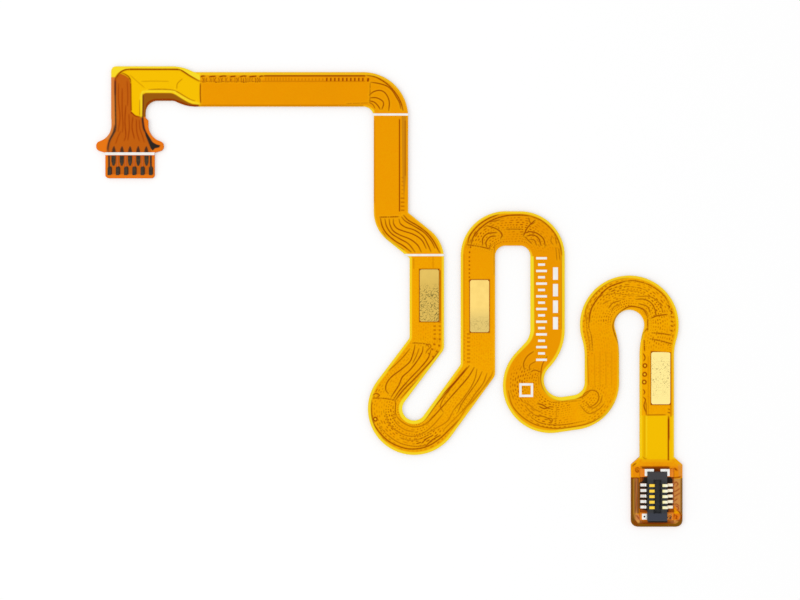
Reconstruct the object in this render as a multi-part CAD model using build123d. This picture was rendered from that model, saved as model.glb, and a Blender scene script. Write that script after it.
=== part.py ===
from build123d import *
import os
from math import atan, ceil, cos, pi, radians, sin, tan

# A flexible printed cable lying flat: a thin amber film with copper inside it, cut to a winding
# outline, with a board connector soldered on one end and a plug-in end with bare contacts on the other.
# Millimetres, Z up. The origin is the centre of the connector end's underside. The film leaves the
# connector towards +Y, winds away towards -X, and the plug-in end points towards -Y.

# Thickness of each layer
stiffener_thickness = 0.175
cover_thickness = 0.03
copper_thickness = 0.02
base_thickness = 0.025
pad_thickness = 0.012
ink_thickness = 0.012

# Winding route of the film's centre line, from the connector end to the plug-in end
film_width = 2.5
lead_run = 7.29
neck_radius = 5.5
neck_angle = 17.0
loop_radius = 2.33
short_leg_run = 1.88
hook_radius = 2.2
hook_angle = 81.5
hook_floor_run = 1.55
wide_turn_radius = 2.2
wide_turn_angle = 141.5
wide_turn_inside_radius = 1.23
slope_run = 0.99
slope_radius = 2.7
marked_leg_run = 5.32
arch_radius = 2.0
arch_top_run = 1.05
left_leg_run = 7.75
knee_radius = 1.6
knee_outside_radius = 0.7
right_knee_angle = 36.0
right_slant_run = 4.47
pocket_radius = 2.1
left_knee_angle = 37.0
left_slant_run = 3.79
fold_leg_run = 5.6
jog_radius = 1.4
jog_angle = 51.0
jog_run = 2.01
drop_leg_run = 6.865
corner_radius = 2.0
long_arm_run = 12.13
arm_rise = 0.425
arm_rise_length = 1.75
arm_end_run = 1.04
tail_corner_radius = 2.12
tail_corner_outside_radius = 0.36
upper_leg_run = 0.36

# Connector end of the film
head_end_margin = 0.45
head_rise = 0.5
head_slope_length = 0.55
head_corner_radius = 0.47

# Plug-in end of the film
tail_shift = 0.11
tail_step = 0.2
tail_leg_width = 2.68
tail_leg_length = 1.19
flare_radius = 1.2
ear_reach = 2.45
ear_side = 0.56
ear_rise_angle = 20.0
ear_return_angle = 15.0
ear_tip_radius = 0.34
fillet_limit = 0.98
tail_length = 2.03
tail_corner_end_radius = 0.25
tail_stiffener_length = 3.3

# Plug-in contacts, in two rows that interleave
finger_pitch = 0.3
finger_margin = 0.29
rear_finger_count = 5
finger_width = 0.24
finger_point = 0.12
rear_finger_width = 0.28
rear_finger_foot = 0.12
rear_finger_taper = 0.3
front_finger_length = 0.62
front_finger_inset = 0.22
rear_finger_length = 1.38
finger_row_gap = 0.07
finger_lead_width = 0.08
bare_length = 1.63

# Conductors inside the film
trace_count = 5
trace_width = 0.14
trace_pitch = 0.3
trace_edge_margin = 0.3
guard_width = 0.3
guard_edge_margin = 0.3
plane_edge_margin = 0.15
plane_guard_gap = 0.1
plane_corner = 0.12
plane_end_gap = 0.12
plug_fan_length = 1.5
track_step = 22.5

# Plated holes through the base film
via_radius = 0.055
via_pitch = 0.29
via_sides = 6

# Ground pads laid bare in windows of the top cover
pad_width = 1.38
pad_length = 3.78
pad_corner = 0.1
window_corner_radius = 0.16
window_clearance = 0.03
lead_pad_start = 3.82
lead_pad_across = -0.29
left_leg_pad_start = 1.74
left_leg_pad_across = 0.12
fold_leg_pad_start = 1.07
fold_leg_pad_across = -0.18

# Board connector
contact_pitch = 0.4
contact_rows = 5
housing_width = 1.42
housing_length = 3.56
housing_height = 0.5
housing_floor = 0.14
housing_end = 0.6
housing_edge = 0.06
valley_width = 0.5
solder_gap = 0.015
contact_width = 0.2
contact_thickness = 0.05
contact_overhang = 0.43
contact_bend_radius = 0.07
contact_bend_step = 45.0
contact_clearance = 0.01
opening_side_margin = 0.02
opening_end_margin = 0.005
contact_pad_width = 0.24
contact_pad_margin = 0.01
solder_toe = 0.06

# Hold-downs and soldered tabs beside the connector's ends
hold_down_thickness = 0.08
hold_down_height = 0.3
hold_down_arm = 0.66
hold_down_leg = 0.5
hold_down_width = 0.18
hold_down_clearance = 0.01
tab_length = 0.42
tab_width = 0.36
tab_rise = 0.08
tab_hole_radius = 0.07
corner_pad_edge_margin = 0.225
corner_pad_inner = 0.34
corner_pad_inset = 0.4
corner_pad_overlap = 0.34
tab_pad_inset = 0.58
tab_pad_margin = 0.02

# Lanes of the conductors beside and under the connector
lane_gap = 0.16
lane_pitch = 0.18
lane_edge_margin = 0.075
lane_bend_radius = 0.12
head_fan_length = 2.3

# Ground copper at the plug-in end
tail_column_width = 1.1
tail_column_corner = 0.5
tail_plane_shoulder = 0.12
tail_plane_half = 0.95
tail_plane_waist = 0.75
tail_plane_skirt = 0.22
lead_plane_start = 3.05

# White ink
fold_line_width = 0.16
fold_line_length = 3.2
drop_fold_distance = 7.04
jog_fold_distance = 5.89
insertion_line_width = 0.2
insertion_line_gap = 0.04
tick_width = 0.17
tick_count = 17
tick_pitch = 0.46
tick_start = -2.2
tick_across = 0.44
tick_long = 0.78
tick_short = 0.5
dash_count = 4
dash_pitch = 1.2
dash_start = 0.45
dash_length = 0.9
dash_width = 0.36
dash_across = -0.57
frame_size = 1.0
frame_along = -4.4
frame_across = 1.55

# Heights of the layers above the underside
z_bottom_cover = stiffener_thickness
z_bottom_copper = z_bottom_cover + cover_thickness
z_base = z_bottom_copper + copper_thickness
z_top_copper = z_base + base_thickness
z_top_cover = z_top_copper + copper_thickness
z_top = z_top_cover + cover_thickness
z_connector = z_top_cover + solder_gap

# Places that follow from the sizes above: conductors in the film, then the connector end
half_film = film_width / 2
trace_first_offset = half_film - trace_edge_margin
guard_offset = guard_edge_margin + guard_width / 2 - half_film
plane_left = half_film - plane_edge_margin
plane_right = guard_offset + guard_width / 2 + plane_guard_gap
contact_reach = housing_width / 2 + contact_overhang
opening_width = 2 * (contact_reach + solder_toe + opening_side_margin)
opening_length = housing_length + 2 * (hold_down_clearance + hold_down_width + opening_end_margin)
left_lane_count = (trace_count + 1) // 2
lane_first = contact_reach + solder_toe + lane_gap
lane_last = lane_first + (left_lane_count - 1) * lane_pitch
half_head = lane_last + trace_width / 2 + lane_edge_margin
head_bottom = housing_length / 2 + head_end_margin
head_shoulder = housing_length / 2 + head_rise
head_top = head_shoulder + head_slope_length
corner_pad_bottom = housing_length / 2 - corner_pad_inset
corner_pad_top = housing_length / 2 + corner_pad_overlap
tab_pad_bottom = tab_pad_margin - housing_length / 2
tab_pad_top = tab_pad_inset - housing_length / 2


class Path:
    """A flat route of straight runs and tangent bends. Distances to its left are positive."""

    def __init__(self, x, y, heading):
        self.start = (x, y, heading)
        self.end = (x, y, heading)
        self.runs = [0.0]
        self.bends = []
        self.marks = {}
        self.progress = {}

    def mark(self, name):
        self.marks[name] = self.end
        self.progress[name] = (len(self.bends), self.runs[-1])
        return self

    def up_to(self, name):
        """The same route, ended at a mark."""
        count, last_run = self.progress[name]
        part = Path(*self.start)
        part.bends = self.bends[:count]
        part.runs = self.runs[:count] + [last_run]
        return part

    def run(self, length):
        x, y, heading = self.end
        self.runs[-1] += length
        self.end = (x + length * cos(radians(heading)), y + length * sin(radians(heading)), heading)
        return self

    def bend(self, angle, radius, inside=None, outside=None):
        """A bend to the left for a positive angle. The film's edges may have radii of their own."""
        x, y, heading = self.end
        side = 1 if angle > 0 else -1
        self.bends.append((angle, radius, inside, outside))
        self.runs.append(0.0)
        turned = heading + angle
        x += side * radius * (sin(radians(turned)) - sin(radians(heading)))
        y += side * radius * (cos(radians(heading)) - cos(radians(turned)))
        self.end = (x, y, turned)
        return self

    def sidestep(self, shift, length):
        """Two equal and opposite bends that move the route over by a shift to the left."""
        if abs(shift) < 0.001:
            return self.run(length)
        angle = 2 * atan(shift / length) * 180 / pi
        radius = (length**2 + shift**2) / (4 * abs(shift))
        return self.bend(angle, radius).bend(-angle, radius)

    def follow(self, route, offset):
        """Carry on beside another route, at a fixed distance to its left."""
        for index, (angle, radius, _, _) in enumerate(route.bends):
            self.run(route.runs[index])
            self.bend(angle, radius - (offset if angle > 0 else -offset))
        return self.run(route.runs[-1])

    def edges(self, offset, shaped=False, step=0):
        """Edges of the line beside the route.

        Where it is shaped, the bends take the film edges' own radii. With a step in degrees, the
        bends are drawn as short straight pieces, as etched tracks are.
        """
        runs = list(self.runs)
        radii = []
        for index, (angle, radius, inside, outside) in enumerate(self.bends):
            to_inside = offset if angle > 0 else -offset
            concentric = radius - to_inside
            own = inside if to_inside > 0 else outside
            chosen = own if shaped and own is not None else concentric
            radii.append(chosen)
            longer = (concentric - chosen) * tan(radians(abs(angle)) / 2)
            runs[index] += longer
            runs[index + 1] += longer
        x, y, heading = self.start
        line = Path(x - offset * sin(radians(heading)), y + offset * cos(radians(heading)), heading)
        found = []
        for index, length in enumerate(runs):
            if length > 0.0001:
                begin = line.end[:2]
                found.append(Line(begin, line.run(length).end[:2]))
            if index < len(radii):
                angle = self.bends[index][0]
                if step:
                    pieces = ceil(abs(angle) / step)
                    for _ in range(pieces):
                        begin = line.end[:2]
                        found.append(Line(begin, line.bend(angle / pieces, radii[index]).end[:2]))
                else:
                    begin = line.end[:2]
                    middle = line.bend(angle / 2, radii[index]).end[:2]
                    end = line.bend(angle / 2, radii[index]).end[:2]
                    found.append(ThreePointArc(begin, middle, end))
        return found, line.end[:2]

    def strip(self, right, left, step):
        """The flat band between two lines beside the route, with its bends drawn in steps."""
        right_edges, right_end = self.edges(right, step=step)
        left_edges, left_end = self.edges(left, step=step)
        first = Line(right_edges[0] @ 0, left_edges[0] @ 0)
        return make_face(right_edges + left_edges + [first, Line(right_end, left_end)])

    def spot(self, name, along, across):
        """A point measured from a mark: along the route there, and to its left."""
        x, y, heading = self.marks[name]
        turn = radians(heading)
        return (x + along * cos(turn) - across * sin(turn), y + along * sin(turn) + across * cos(turn))

    def laid(self, name, along, across, face):
        """A flat face laid at a point beside a straight run, its X along the run."""
        return Pos(*self.spot(name, along, across)) * Rot(0, 0, self.marks[name][2]) * face


def rounded(points):
    """Edges through corner points, each given as x, y and its rounding radius."""
    found = []
    last = points[0][:2]
    for before, corner, after in zip(points, points[1:], points[2:]):
        here = Vector(*corner[:2])
        back = (Vector(*before[:2]) - here).normalized()
        ahead = (Vector(*after[:2]) - here).normalized()
        half = radians(back.get_angle(ahead)) / 2
        reach = corner[2] / tan(half)
        enter = here + back * reach
        leave = here + ahead * reach
        middle = here + (back + ahead).normalized() * (corner[2] / sin(half) - corner[2])
        found.append(Line(last, enter))
        if reach > 0.0001:
            found.append(ThreePointArc(enter, middle, leave))
        last = leave
    found.append(Line(last, points[-1][:2]))
    return found


def polygon(points):
    """A face from corner points, each given as x, y and its rounding radius."""
    first = points[0]
    second = points[1]
    seam = ((first[0] + second[0]) / 2, (first[1] + second[1]) / 2, 0)
    return make_face(rounded([seam] + list(points[1:]) + [first, seam]))


def layer(face, height, thickness):
    """A flat face made solid, from a height upwards."""
    return extrude(Pos(0, 0, height) * face, amount=thickness)


def film_route():
    """The centre line of the film, from the connector end to the plug-in end."""
    path = Path(0, head_top, 90).mark("lead").run(lead_run)
    path.bend(-neck_angle, neck_radius).bend(180 + 2 * neck_angle, loop_radius)
    path.bend(-neck_angle, neck_radius).mark("short_leg").run(short_leg_run)
    path.bend(-hook_angle, hook_radius).mark("hook_floor").run(hook_floor_run)
    path.bend(-wide_turn_angle, wide_turn_radius, inside=wide_turn_inside_radius).run(slope_run)
    path.bend(wide_turn_angle + hook_angle - 180, slope_radius).mark("marked_leg").run(marked_leg_run)
    path.bend(90, arch_radius).mark("arch_top").run(arch_top_run).bend(90, arch_radius)
    path.mark("left_leg").run(left_leg_run)
    path.bend(-right_knee_angle, knee_radius, outside=knee_outside_radius).run(right_slant_run)
    path.bend(-180 + right_knee_angle - left_knee_angle, pocket_radius).run(left_slant_run)
    path.bend(left_knee_angle, knee_radius, outside=knee_outside_radius)
    path.mark("fold_leg").run(fold_leg_run)
    path.bend(jog_angle, jog_radius).mark("jog").run(jog_run).bend(-jog_angle, jog_radius)
    path.mark("drop_leg").run(drop_leg_run).bend(90, corner_radius)
    path.mark("long_arm").run(long_arm_run).sidestep(-arm_rise, arm_rise_length)
    path.mark("arm_end").run(arm_end_run)
    path.bend(90, tail_corner_radius, outside=tail_corner_outside_radius)
    return path.mark("upper_leg").run(upper_leg_run).mark("tail")


route = film_route()
tail_x = route.end[0] + tail_shift
tail_top = route.end[1]
tail_width = 2 * rear_finger_count * finger_pitch + 2 * finger_margin
knee_y = tail_top - tail_step - tail_leg_length
ear_top_y = knee_y - (ear_reach - tail_leg_width / 2) * tan(radians(ear_rise_angle))
ear_foot_y = ear_top_y - ear_side
tail_end = ear_foot_y - tail_length


def tail_side(side):
    """Corner points down one side of the plug-in end, from its leg to its end."""
    leg = tail_leg_width / 2
    block = tail_width / 2
    root_y = ear_foot_y - (ear_reach - block) * tan(radians(ear_return_angle))
    top_turn = tan(radians(90 - ear_rise_angle) / 2)
    foot_turn = tan(radians(90 - ear_return_angle) / 2)
    top_edge = (ear_reach - leg) / cos(radians(ear_rise_angle))
    tip = min(ear_tip_radius, fillet_limit * ear_side / (top_turn + foot_turn))
    flare = min(flare_radius, fillet_limit * top_edge / top_turn - tip)
    return [
        (tail_x + side * leg, knee_y, flare),
        (tail_x + side * ear_reach, ear_top_y, tip),
        (tail_x + side * ear_reach, ear_foot_y, tip),
        (tail_x + side * block, root_y, 0),
        (tail_x + side * block, tail_end, tail_corner_end_radius),
    ]


def film_face():
    """The whole outline of the film as one flat face."""
    left_edges, left_end = route.edges(half_film, shaped=True)
    right_edges, right_end = route.edges(-half_film, shaped=True)
    leg = tail_leg_width / 2
    step_y = tail_top - tail_step
    tail = [(*left_end, 0), (tail_x + leg, step_y, 0)] + tail_side(1)
    tail += tail_side(-1)[::-1] + [(tail_x - leg, step_y, 0), (*right_end, 0)]
    head = [
        (half_film, head_top, 0),
        (half_head, head_shoulder, 0),
        (half_head, -head_bottom, head_corner_radius),
        (-half_head, -head_bottom, head_corner_radius),
        (-half_head, head_shoulder, 0),
        (-half_film, head_top, 0),
    ]
    return make_face(left_edges + right_edges + rounded(tail) + rounded(head))


film = film_face()


def finger_places():
    """Across positions of the contacts: the rear row, then the front row, from +X to -X."""
    row_pitch = 2 * finger_pitch
    first = row_pitch * (rear_finger_count - 1) / 2
    rear = [first - index * row_pitch for index in range(rear_finger_count)]
    front = [first + finger_pitch - index * row_pitch for index in range(rear_finger_count + 1)]
    return rear, front


rear_fingers, front_fingers = finger_places()
front_bottom = tail_end + front_finger_inset
front_top = front_bottom + front_finger_length
rear_bottom = front_top + finger_row_gap
rear_top = rear_bottom + rear_finger_length
bare_top = tail_end + bare_length
finger_lead_top = rear_top + plane_end_gap


def rear_finger(x):
    """A contact of the rear row: pointed above and tapered below."""
    half = rear_finger_width / 2
    foot = rear_finger_foot / 2
    return polygon([
        (x - half, rear_bottom + rear_finger_taper, 0),
        (x - foot, rear_bottom, 0),
        (x + foot, rear_bottom, 0),
        (x + half, rear_bottom + rear_finger_taper, 0),
        (x + half, rear_top - finger_point, 0),
        (x, rear_top, 0),
        (x - half, rear_top - finger_point, 0),
    ])


def front_finger(x):
    """A contact of the front row, with a thin lead up between the rear ones."""
    half = finger_width / 2
    lead = finger_lead_width / 2
    return polygon([
        (x - half, front_bottom, 0),
        (x + half, front_bottom, 0),
        (x + half, front_top - finger_point, 0),
        (x + lead, front_top, 0),
        (x + lead, finger_lead_top, 0),
        (x - lead, finger_lead_top, 0),
        (x - lead, front_top, 0),
        (x - half, front_top - finger_point, 0),
    ])


def tail_plane():
    """Ground copper at the plug-in end: a column down the leg that widens towards the contacts."""
    leg_x = route.end[0]
    outer = leg_x + guard_offset - guard_width / 2
    inner = outer + tail_column_width
    column_top = route.marks["arm_end"][1] - guard_offset + guard_width / 2
    wide = tail_width / 2 - finger_margin + finger_width / 2
    shoulder = tail_top + tail_plane_shoulder
    waist = tail_top - tail_plane_waist
    bottom = finger_lead_top
    return polygon([
        (outer, column_top, tail_column_corner),
        (inner, column_top, 0),
        (inner, shoulder + tail_column_corner / 2, 0),
        (tail_x + tail_plane_half, shoulder, 0),
        (tail_x + tail_plane_half, waist, 0),
        (tail_x + wide, bottom + tail_plane_skirt, 0),
        (tail_x + wide, bottom, 0),
        (tail_x - wide, bottom, 0),
        (tail_x - wide, bottom + tail_plane_skirt, 0),
        (outer, waist, 0),
    ])


def trace_path(index):
    """One conductor, from its connector pad round to its contact at the plug-in end."""
    offset = trace_first_offset - index * trace_pitch
    if index < left_lane_count:
        row = contact_rows - 1 - index
        lane = lane_last - index * lane_pitch
        start = -contact_pad_x
    else:
        row = 2 * (trace_count - index) - 1
        lane = offset
        start = contact_pad_x
    path = Path(start, row_y(row), 180).mark("pad")
    path.run(start + lane - lane_bend_radius).bend(-90, lane_bend_radius)
    path.run(head_top - head_fan_length - path.end[1]).sidestep(offset - lane, head_fan_length)
    path.follow(route, offset)
    finger_shift = tail_shift + rear_fingers[index] - offset
    path.sidestep(finger_shift, plug_fan_length)
    return path.run(path.end[1] - via_row_y).mark("finger")


def guard_path():
    """The ground strip beside the conductors, from a connector corner to the plug-in end's copper."""
    path = Path(-guard_offset, corner_pad_top, 90).run(head_top - corner_pad_top)
    path.follow(route.up_to("arm_end"), guard_offset)
    column = route.end[0] + guard_offset - guard_width / 2 + tail_column_width
    return path.run(path.end[0] - column)


def row_y(row):
    return contact_pitch * ((contact_rows - 1) / 2 - row)


contact_foot = contact_reach - housing_width / 2 - contact_thickness
contact_pad_x = contact_reach - contact_foot / 2
via_row_y = rear_top - finger_point - via_radius * 2
traces = [trace_path(index) for index in range(trace_count)]
guard = guard_path()


def clipped_rectangle(length, width, corner):
    """A rectangle with its corners cut off."""
    face = Rectangle(length, width)
    return chamfer(face.vertices(), corner)


def planes():
    """Ground copper over the straight stretches, each as mark, start and end along the run."""
    spans = [
        ("lead", lead_plane_start, lead_run),
        ("short_leg", 0, short_leg_run),
        ("hook_floor", 0, hook_floor_run),
        ("marked_leg", 0, marked_leg_run),
        ("arch_top", 0, arch_top_run),
        ("left_leg", 0, left_leg_run),
        ("fold_leg", 0, fold_leg_run),
        ("drop_leg", 0, drop_leg_run),
        ("long_arm", 0, long_arm_run),
    ]
    faces = {}
    for name, start, end in spans:
        length = end - start - 2 * plane_end_gap
        face = clipped_rectangle(length, plane_left - plane_right, plane_corner)
        middle = (plane_left + plane_right) / 2
        faces["ground_plane_" + name] = route.laid(name, (start + end) / 2, middle, face)
    return faces


def guard_vias():
    """Plated holes along the ground strip, as mark, start and how many."""
    ladders = [
        ("lead", lead_pad_start - 2 * via_pitch, 1),
        ("short_leg", 0, 2),
        ("left_leg", 0, 3),
        ("left_leg", left_leg_pad_start + pad_length + via_pitch, 3),
        ("fold_leg", 0, 3),
        ("drop_leg", 0, 3),
        ("long_arm", 0, 5),
    ]
    return [
        route.spot(name, start + via_pitch * (index + 0.5), guard_offset)
        for name, start, count in ladders
        for index in range(count)
    ]


signal_vias = [path.spot("pad", 0, 0) for path in traces] + [path.spot("finger", 0, 0) for path in traces]
vias = guard_vias() + signal_vias

pads = {
    "ground_pad_1": ("lead", lead_pad_start, lead_pad_across),
    "ground_pad_2": ("left_leg", left_leg_pad_start, left_leg_pad_across),
    "ground_pad_3": ("fold_leg", fold_leg_pad_start, fold_leg_pad_across),
}


def over_pad(place, face):
    """A face laid at the middle of a ground pad."""
    name, start, across = place
    return route.laid(name, start + pad_length / 2, across, face)


def via_faces():
    """The plated holes, drawn with straight sides."""
    return Sketch() + [Pos(x, y) * RegularPolygon(via_radius, via_sides) for x, y in vias]


def base_film():
    """The film that carries the copper, with a hole at each plated hole."""
    return layer(film - via_faces(), z_base, base_thickness)


def top_cover():
    """The upper cover film, open over the ground pads, the connector and the contacts."""
    face = film
    length = pad_length + 2 * window_clearance
    width = pad_width + 2 * window_clearance
    for place in pads.values():
        face -= over_pad(place, RectangleRounded(length, width, window_corner_radius))
    face -= Rectangle(opening_width, opening_length)
    bare = 2 * bare_length
    face -= Pos(tail_x, bare_top - bare / 2) * Rectangle(2 * ear_reach, bare)
    return layer(face, z_top_cover, cover_thickness)


def tail_stiffener():
    """The stiff backing behind the plug-in end, with its ears."""
    top = tail_end + tail_stiffener_length
    box = Pos(tail_x, (top + tail_end) / 2) * Rectangle(3 * ear_reach, top - tail_end)
    return layer(film & box, 0, stiffener_thickness)


def head_stiffener():
    """The stiff backing behind the board connector."""
    height = head_top + head_bottom
    box = Pos(0, (head_top - head_bottom) / 2) * Rectangle(2 * half_head, height)
    return layer(film & box, 0, stiffener_thickness)


def housing():
    """The connector's moulded body: two ribs joined by end blocks, over a thin floor."""
    body = layer(Rectangle(housing_width, housing_length), z_connector, housing_height)
    valley = Rectangle(valley_width, housing_length - 2 * housing_end)
    body -= layer(valley, z_connector + housing_floor, housing_height)
    return chamfer(body.edges().group_by(Axis.Z)[-1], housing_edge)


def contact_side_view():
    """A contact seen from its end: a foot on its pad, up the rib, over its top and down inside."""
    half = contact_thickness / 2
    outer = housing_width / 2 + contact_clearance + half
    inner = valley_width / 2 - contact_clearance - half
    foot = z_top_cover + half
    crest = z_connector + housing_height + contact_clearance + half
    tip = z_connector + housing_floor + contact_clearance
    radius = contact_bend_radius
    path = Path(contact_reach, foot, 180).run(contact_reach - outer - radius)
    path.bend(-90, radius).run(crest - foot - 2 * radius).bend(90, radius)
    path.run(outer - inner - 2 * radius).bend(90, radius).run(crest - radius - tip)
    return path.strip(-half, half, contact_bend_step)


def across(view, y, width):
    """A side view made solid, centred on a height along Y."""
    return Pos(0, y + width / 2, 0) * extrude(Plane.XZ * view, amount=width)


def two_sides(solid):
    """A piece on the +X side and its mirror image on the -X side."""
    return {"right": solid, "left": mirror(solid, about=Plane.YZ)}


def solder_joint(row):
    """Solder that climbs the outer end of a contact's foot."""
    toe = polygon([
        (contact_reach, z_top_cover, 0),
        (contact_reach + solder_toe, z_top_cover, 0),
        (contact_reach, z_top_cover + contact_thickness, 0),
    ])
    return across(toe, row_y(row), contact_width)


def contact_pad(row):
    """Copper under a contact's foot."""
    start = contact_reach - contact_foot
    end = contact_reach + solder_toe + contact_pad_margin
    pad = Pos((start + end) / 2, row_y(row)) * Rectangle(end - start, contact_pad_width)
    return layer(pad, z_top_copper, copper_thickness)


def hold_down():
    """An angle of metal round a top corner of the connector."""
    side = housing_width / 2 + hold_down_clearance
    end = housing_length / 2 + hold_down_clearance
    inner = side + hold_down_width - hold_down_arm
    face = polygon([
        (inner, end, 0),
        (side, end, 0),
        (side, end + hold_down_width - hold_down_leg, 0),
        (side + hold_down_width, end + hold_down_width - hold_down_leg, 0),
        (side + hold_down_width, end + hold_down_width, 0),
        (inner, end + hold_down_width, 0),
    ])
    return layer(face, z_top_cover, hold_down_height)


def hold_tab():
    """A flat soldered tab with a hole, beside a bottom corner of the connector."""
    x = housing_width / 2 + hold_down_clearance + tab_width / 2
    y = tab_length / 2 + tab_rise - housing_length / 2
    face = Pos(x, y) * (Rectangle(tab_width, tab_length) - RegularPolygon(tab_hole_radius, 8))
    return layer(face, z_top_cover, hold_down_thickness)


def corner_pad(bottom, top):
    """Ground copper under a hold-down or a tab."""
    height = top - bottom
    width = half_head - corner_pad_edge_margin - corner_pad_inner
    x = corner_pad_inner + width / 2
    face = Pos(x, (top + bottom) / 2) * Rectangle(width, height)
    return layer(face, z_top_copper, copper_thickness)


def ink(face):
    """White ink printed on the upper cover."""
    return layer(film & face, z_top, ink_thickness)


def fold_line(name, distance):
    """A white line across the film that shows where it is folded."""
    return ink(Pos(*route.spot(name, distance, 0)) * Rectangle(fold_line_length, fold_line_width))


def legend():
    """Plain white bars on the marked leg, and a square frame on the wide turn."""
    bars = []
    for index in range(tick_count):
        width = tick_long if index % 2 == 0 else tick_short
        place = route.spot("marked_leg", tick_start + index * tick_pitch, tick_across)
        bars.append(Pos(*place) * Rectangle(width, tick_width))
    for index in range(dash_count):
        place = route.spot("marked_leg", dash_start + index * dash_pitch, dash_across)
        bars.append(Pos(*place) * Rectangle(dash_width, dash_length))
    frame_opening = frame_size - 2 * tick_width
    frame = Rectangle(frame_size, frame_size) - Rectangle(frame_opening, frame_opening)
    bars.append(Pos(*route.spot("marked_leg", frame_along, frame_across)) * frame)
    return Compound([ink(bar) for bar in bars])


def insertion_line():
    """A white line that shows how far the plug-in end goes into its socket."""
    y = bare_top + insertion_line_gap + insertion_line_width / 2
    return ink(Pos(tail_x, y) * Rectangle(2 * ear_reach, insertion_line_width))


guard_strip = guard.strip(-guard_width / 2, guard_width / 2, track_step)
nodes = {
    "base_film": base_film(),
    "bottom_cover": layer(film, z_bottom_cover, cover_thickness),
    "top_cover": top_cover(),
    "plug_stiffener": tail_stiffener(),
    "connector_stiffener": head_stiffener(),
    "plug_ground_plane": layer(tail_plane(), z_top_copper, copper_thickness),
    "guard_trace": layer(guard_strip, z_top_copper, copper_thickness),
    "connector_housing": housing(),
    "fold_line_upper": fold_line("drop_leg", drop_fold_distance),
    "fold_line_lower": fold_line("fold_leg", jog_fold_distance),
    "insertion_line": insertion_line(),
    "legend_marks": legend(),
}
for index, path in enumerate(traces):
    strip = path.strip(-trace_width / 2, trace_width / 2, track_step)
    nodes["signal_trace_" + str(index + 1)] = layer(strip, z_bottom_copper, copper_thickness)
for name, face in planes().items():
    nodes[name] = layer(face, z_top_copper, copper_thickness)
for name, place in pads.items():
    face = over_pad(place, clipped_rectangle(pad_length, pad_width, pad_corner))
    nodes[name] = layer(face, z_top_cover, pad_thickness)
for index, x in enumerate(rear_fingers):
    face = rear_finger(tail_x + x)
    nodes["rear_contact_" + str(index + 1)] = layer(face, z_top_copper, copper_thickness)
for index, x in enumerate(front_fingers):
    face = front_finger(tail_x + x)
    nodes["front_contact_" + str(index + 1)] = layer(face, z_top_copper, copper_thickness)
nodes["plated_holes"] = layer(via_faces(), z_base, base_thickness)

contact_view = contact_side_view()
pad_solids = []
solder_solids = []
for row in range(contact_rows):
    for side, solid in two_sides(across(contact_view, row_y(row), contact_width)).items():
        nodes["connector_contact_" + side + "_" + str(row + 1)] = solid
    pad_solids += two_sides(contact_pad(row)).values()
    solder_solids += two_sides(solder_joint(row)).values()
nodes["contact_pads"] = Compound(pad_solids)
nodes["solder_joints"] = Compound(solder_solids)
for side, solid in two_sides(hold_down()).items():
    nodes["hold_down_" + side] = solid
for side, solid in two_sides(hold_tab()).items():
    nodes["hold_tab_" + side] = solid
corner_pads = [corner_pad(corner_pad_bottom, corner_pad_top), corner_pad(tab_pad_bottom, tab_pad_top)]
nodes["corner_pads"] = Compound([piece for pad in corner_pads for piece in two_sides(pad).values()])

os.makedirs("parts", exist_ok=True)
for name, solid in nodes.items():
    export_step(solid, "parts/" + name + ".step")
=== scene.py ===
"""Looks for a flat flexible printed cable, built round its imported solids.

The film is one height field laid along the cable's winding route. Shallow embossing and colour masks on
it show the copper under the amber covers. Lengths are in millimetres in the tables and settings that say
so, and in metres in the finished meshes.
"""

import math

import bpy
import numpy as np
from bpy.props import FloatProperty, FloatVectorProperty, IntProperty, PointerProperty
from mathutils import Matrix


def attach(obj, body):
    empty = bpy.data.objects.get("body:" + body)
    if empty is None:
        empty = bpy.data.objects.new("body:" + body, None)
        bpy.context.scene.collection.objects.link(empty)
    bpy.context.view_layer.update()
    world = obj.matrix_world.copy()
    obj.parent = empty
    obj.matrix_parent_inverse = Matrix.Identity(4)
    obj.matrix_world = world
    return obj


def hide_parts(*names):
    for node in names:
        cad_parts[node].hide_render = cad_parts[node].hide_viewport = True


bl_info = {
    "name": "Flat flex cable",
    "version": (1, 0, 0),
    "blender": (4, 5, 0),
    "location": "3D View > Sidebar > Flex cable",
    "description": "Builds the film, contacts, connector and printed marks of a flat flexible cable",
    "category": "Add Mesh",
}

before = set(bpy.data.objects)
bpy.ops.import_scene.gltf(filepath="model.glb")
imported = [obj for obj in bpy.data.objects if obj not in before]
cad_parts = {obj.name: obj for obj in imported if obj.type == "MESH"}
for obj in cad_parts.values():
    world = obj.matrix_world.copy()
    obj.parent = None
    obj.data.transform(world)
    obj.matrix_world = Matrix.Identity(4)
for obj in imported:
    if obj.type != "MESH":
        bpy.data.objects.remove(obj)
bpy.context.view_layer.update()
MM = 0.001

# The route of the film's centre line from the connector end: named runs, and bends as turn and radius.
# A bend may give its inside and outside edge a radius of their own. Millimetres and degrees.
ROUTE = (
    ("lead", 7.29), (-17.0, 5.5), (214.0, 2.33), (-17.0, 5.5),
    ("short_leg", 1.88), (-81.5, 2.2),
    ("hook_floor", 1.55), (-141.5, 2.2, 1.23, None),
    ("slope", 0.99), (43.0, 2.7),
    ("marked_leg", 5.32), (90.0, 2.0), ("arch_top", 1.05), (90.0, 2.0),
    ("left_leg", 7.75), (-36.0, 1.6, None, 0.7),
    ("right_slant", 4.47), (-181.0, 2.1), ("left_slant", 3.79), (37.0, 1.6, None, 0.7),
    ("fold_leg", 5.6), (51.0, 1.4), ("jog", 2.01), (-51.0, 1.4),
    ("drop_leg", 6.865), (90.0, 2.0),
    ("long_arm", 12.13), (-27.301, 1.9077), (27.301, 1.9077),
    ("arm_end", 1.04), (90.0, 2.12, None, 0.36),
    ("upper_leg", 0.36),
)
ROUTE_START = (0.0, 2.83, 90.0)
HALF_FILM = 1.25

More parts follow.
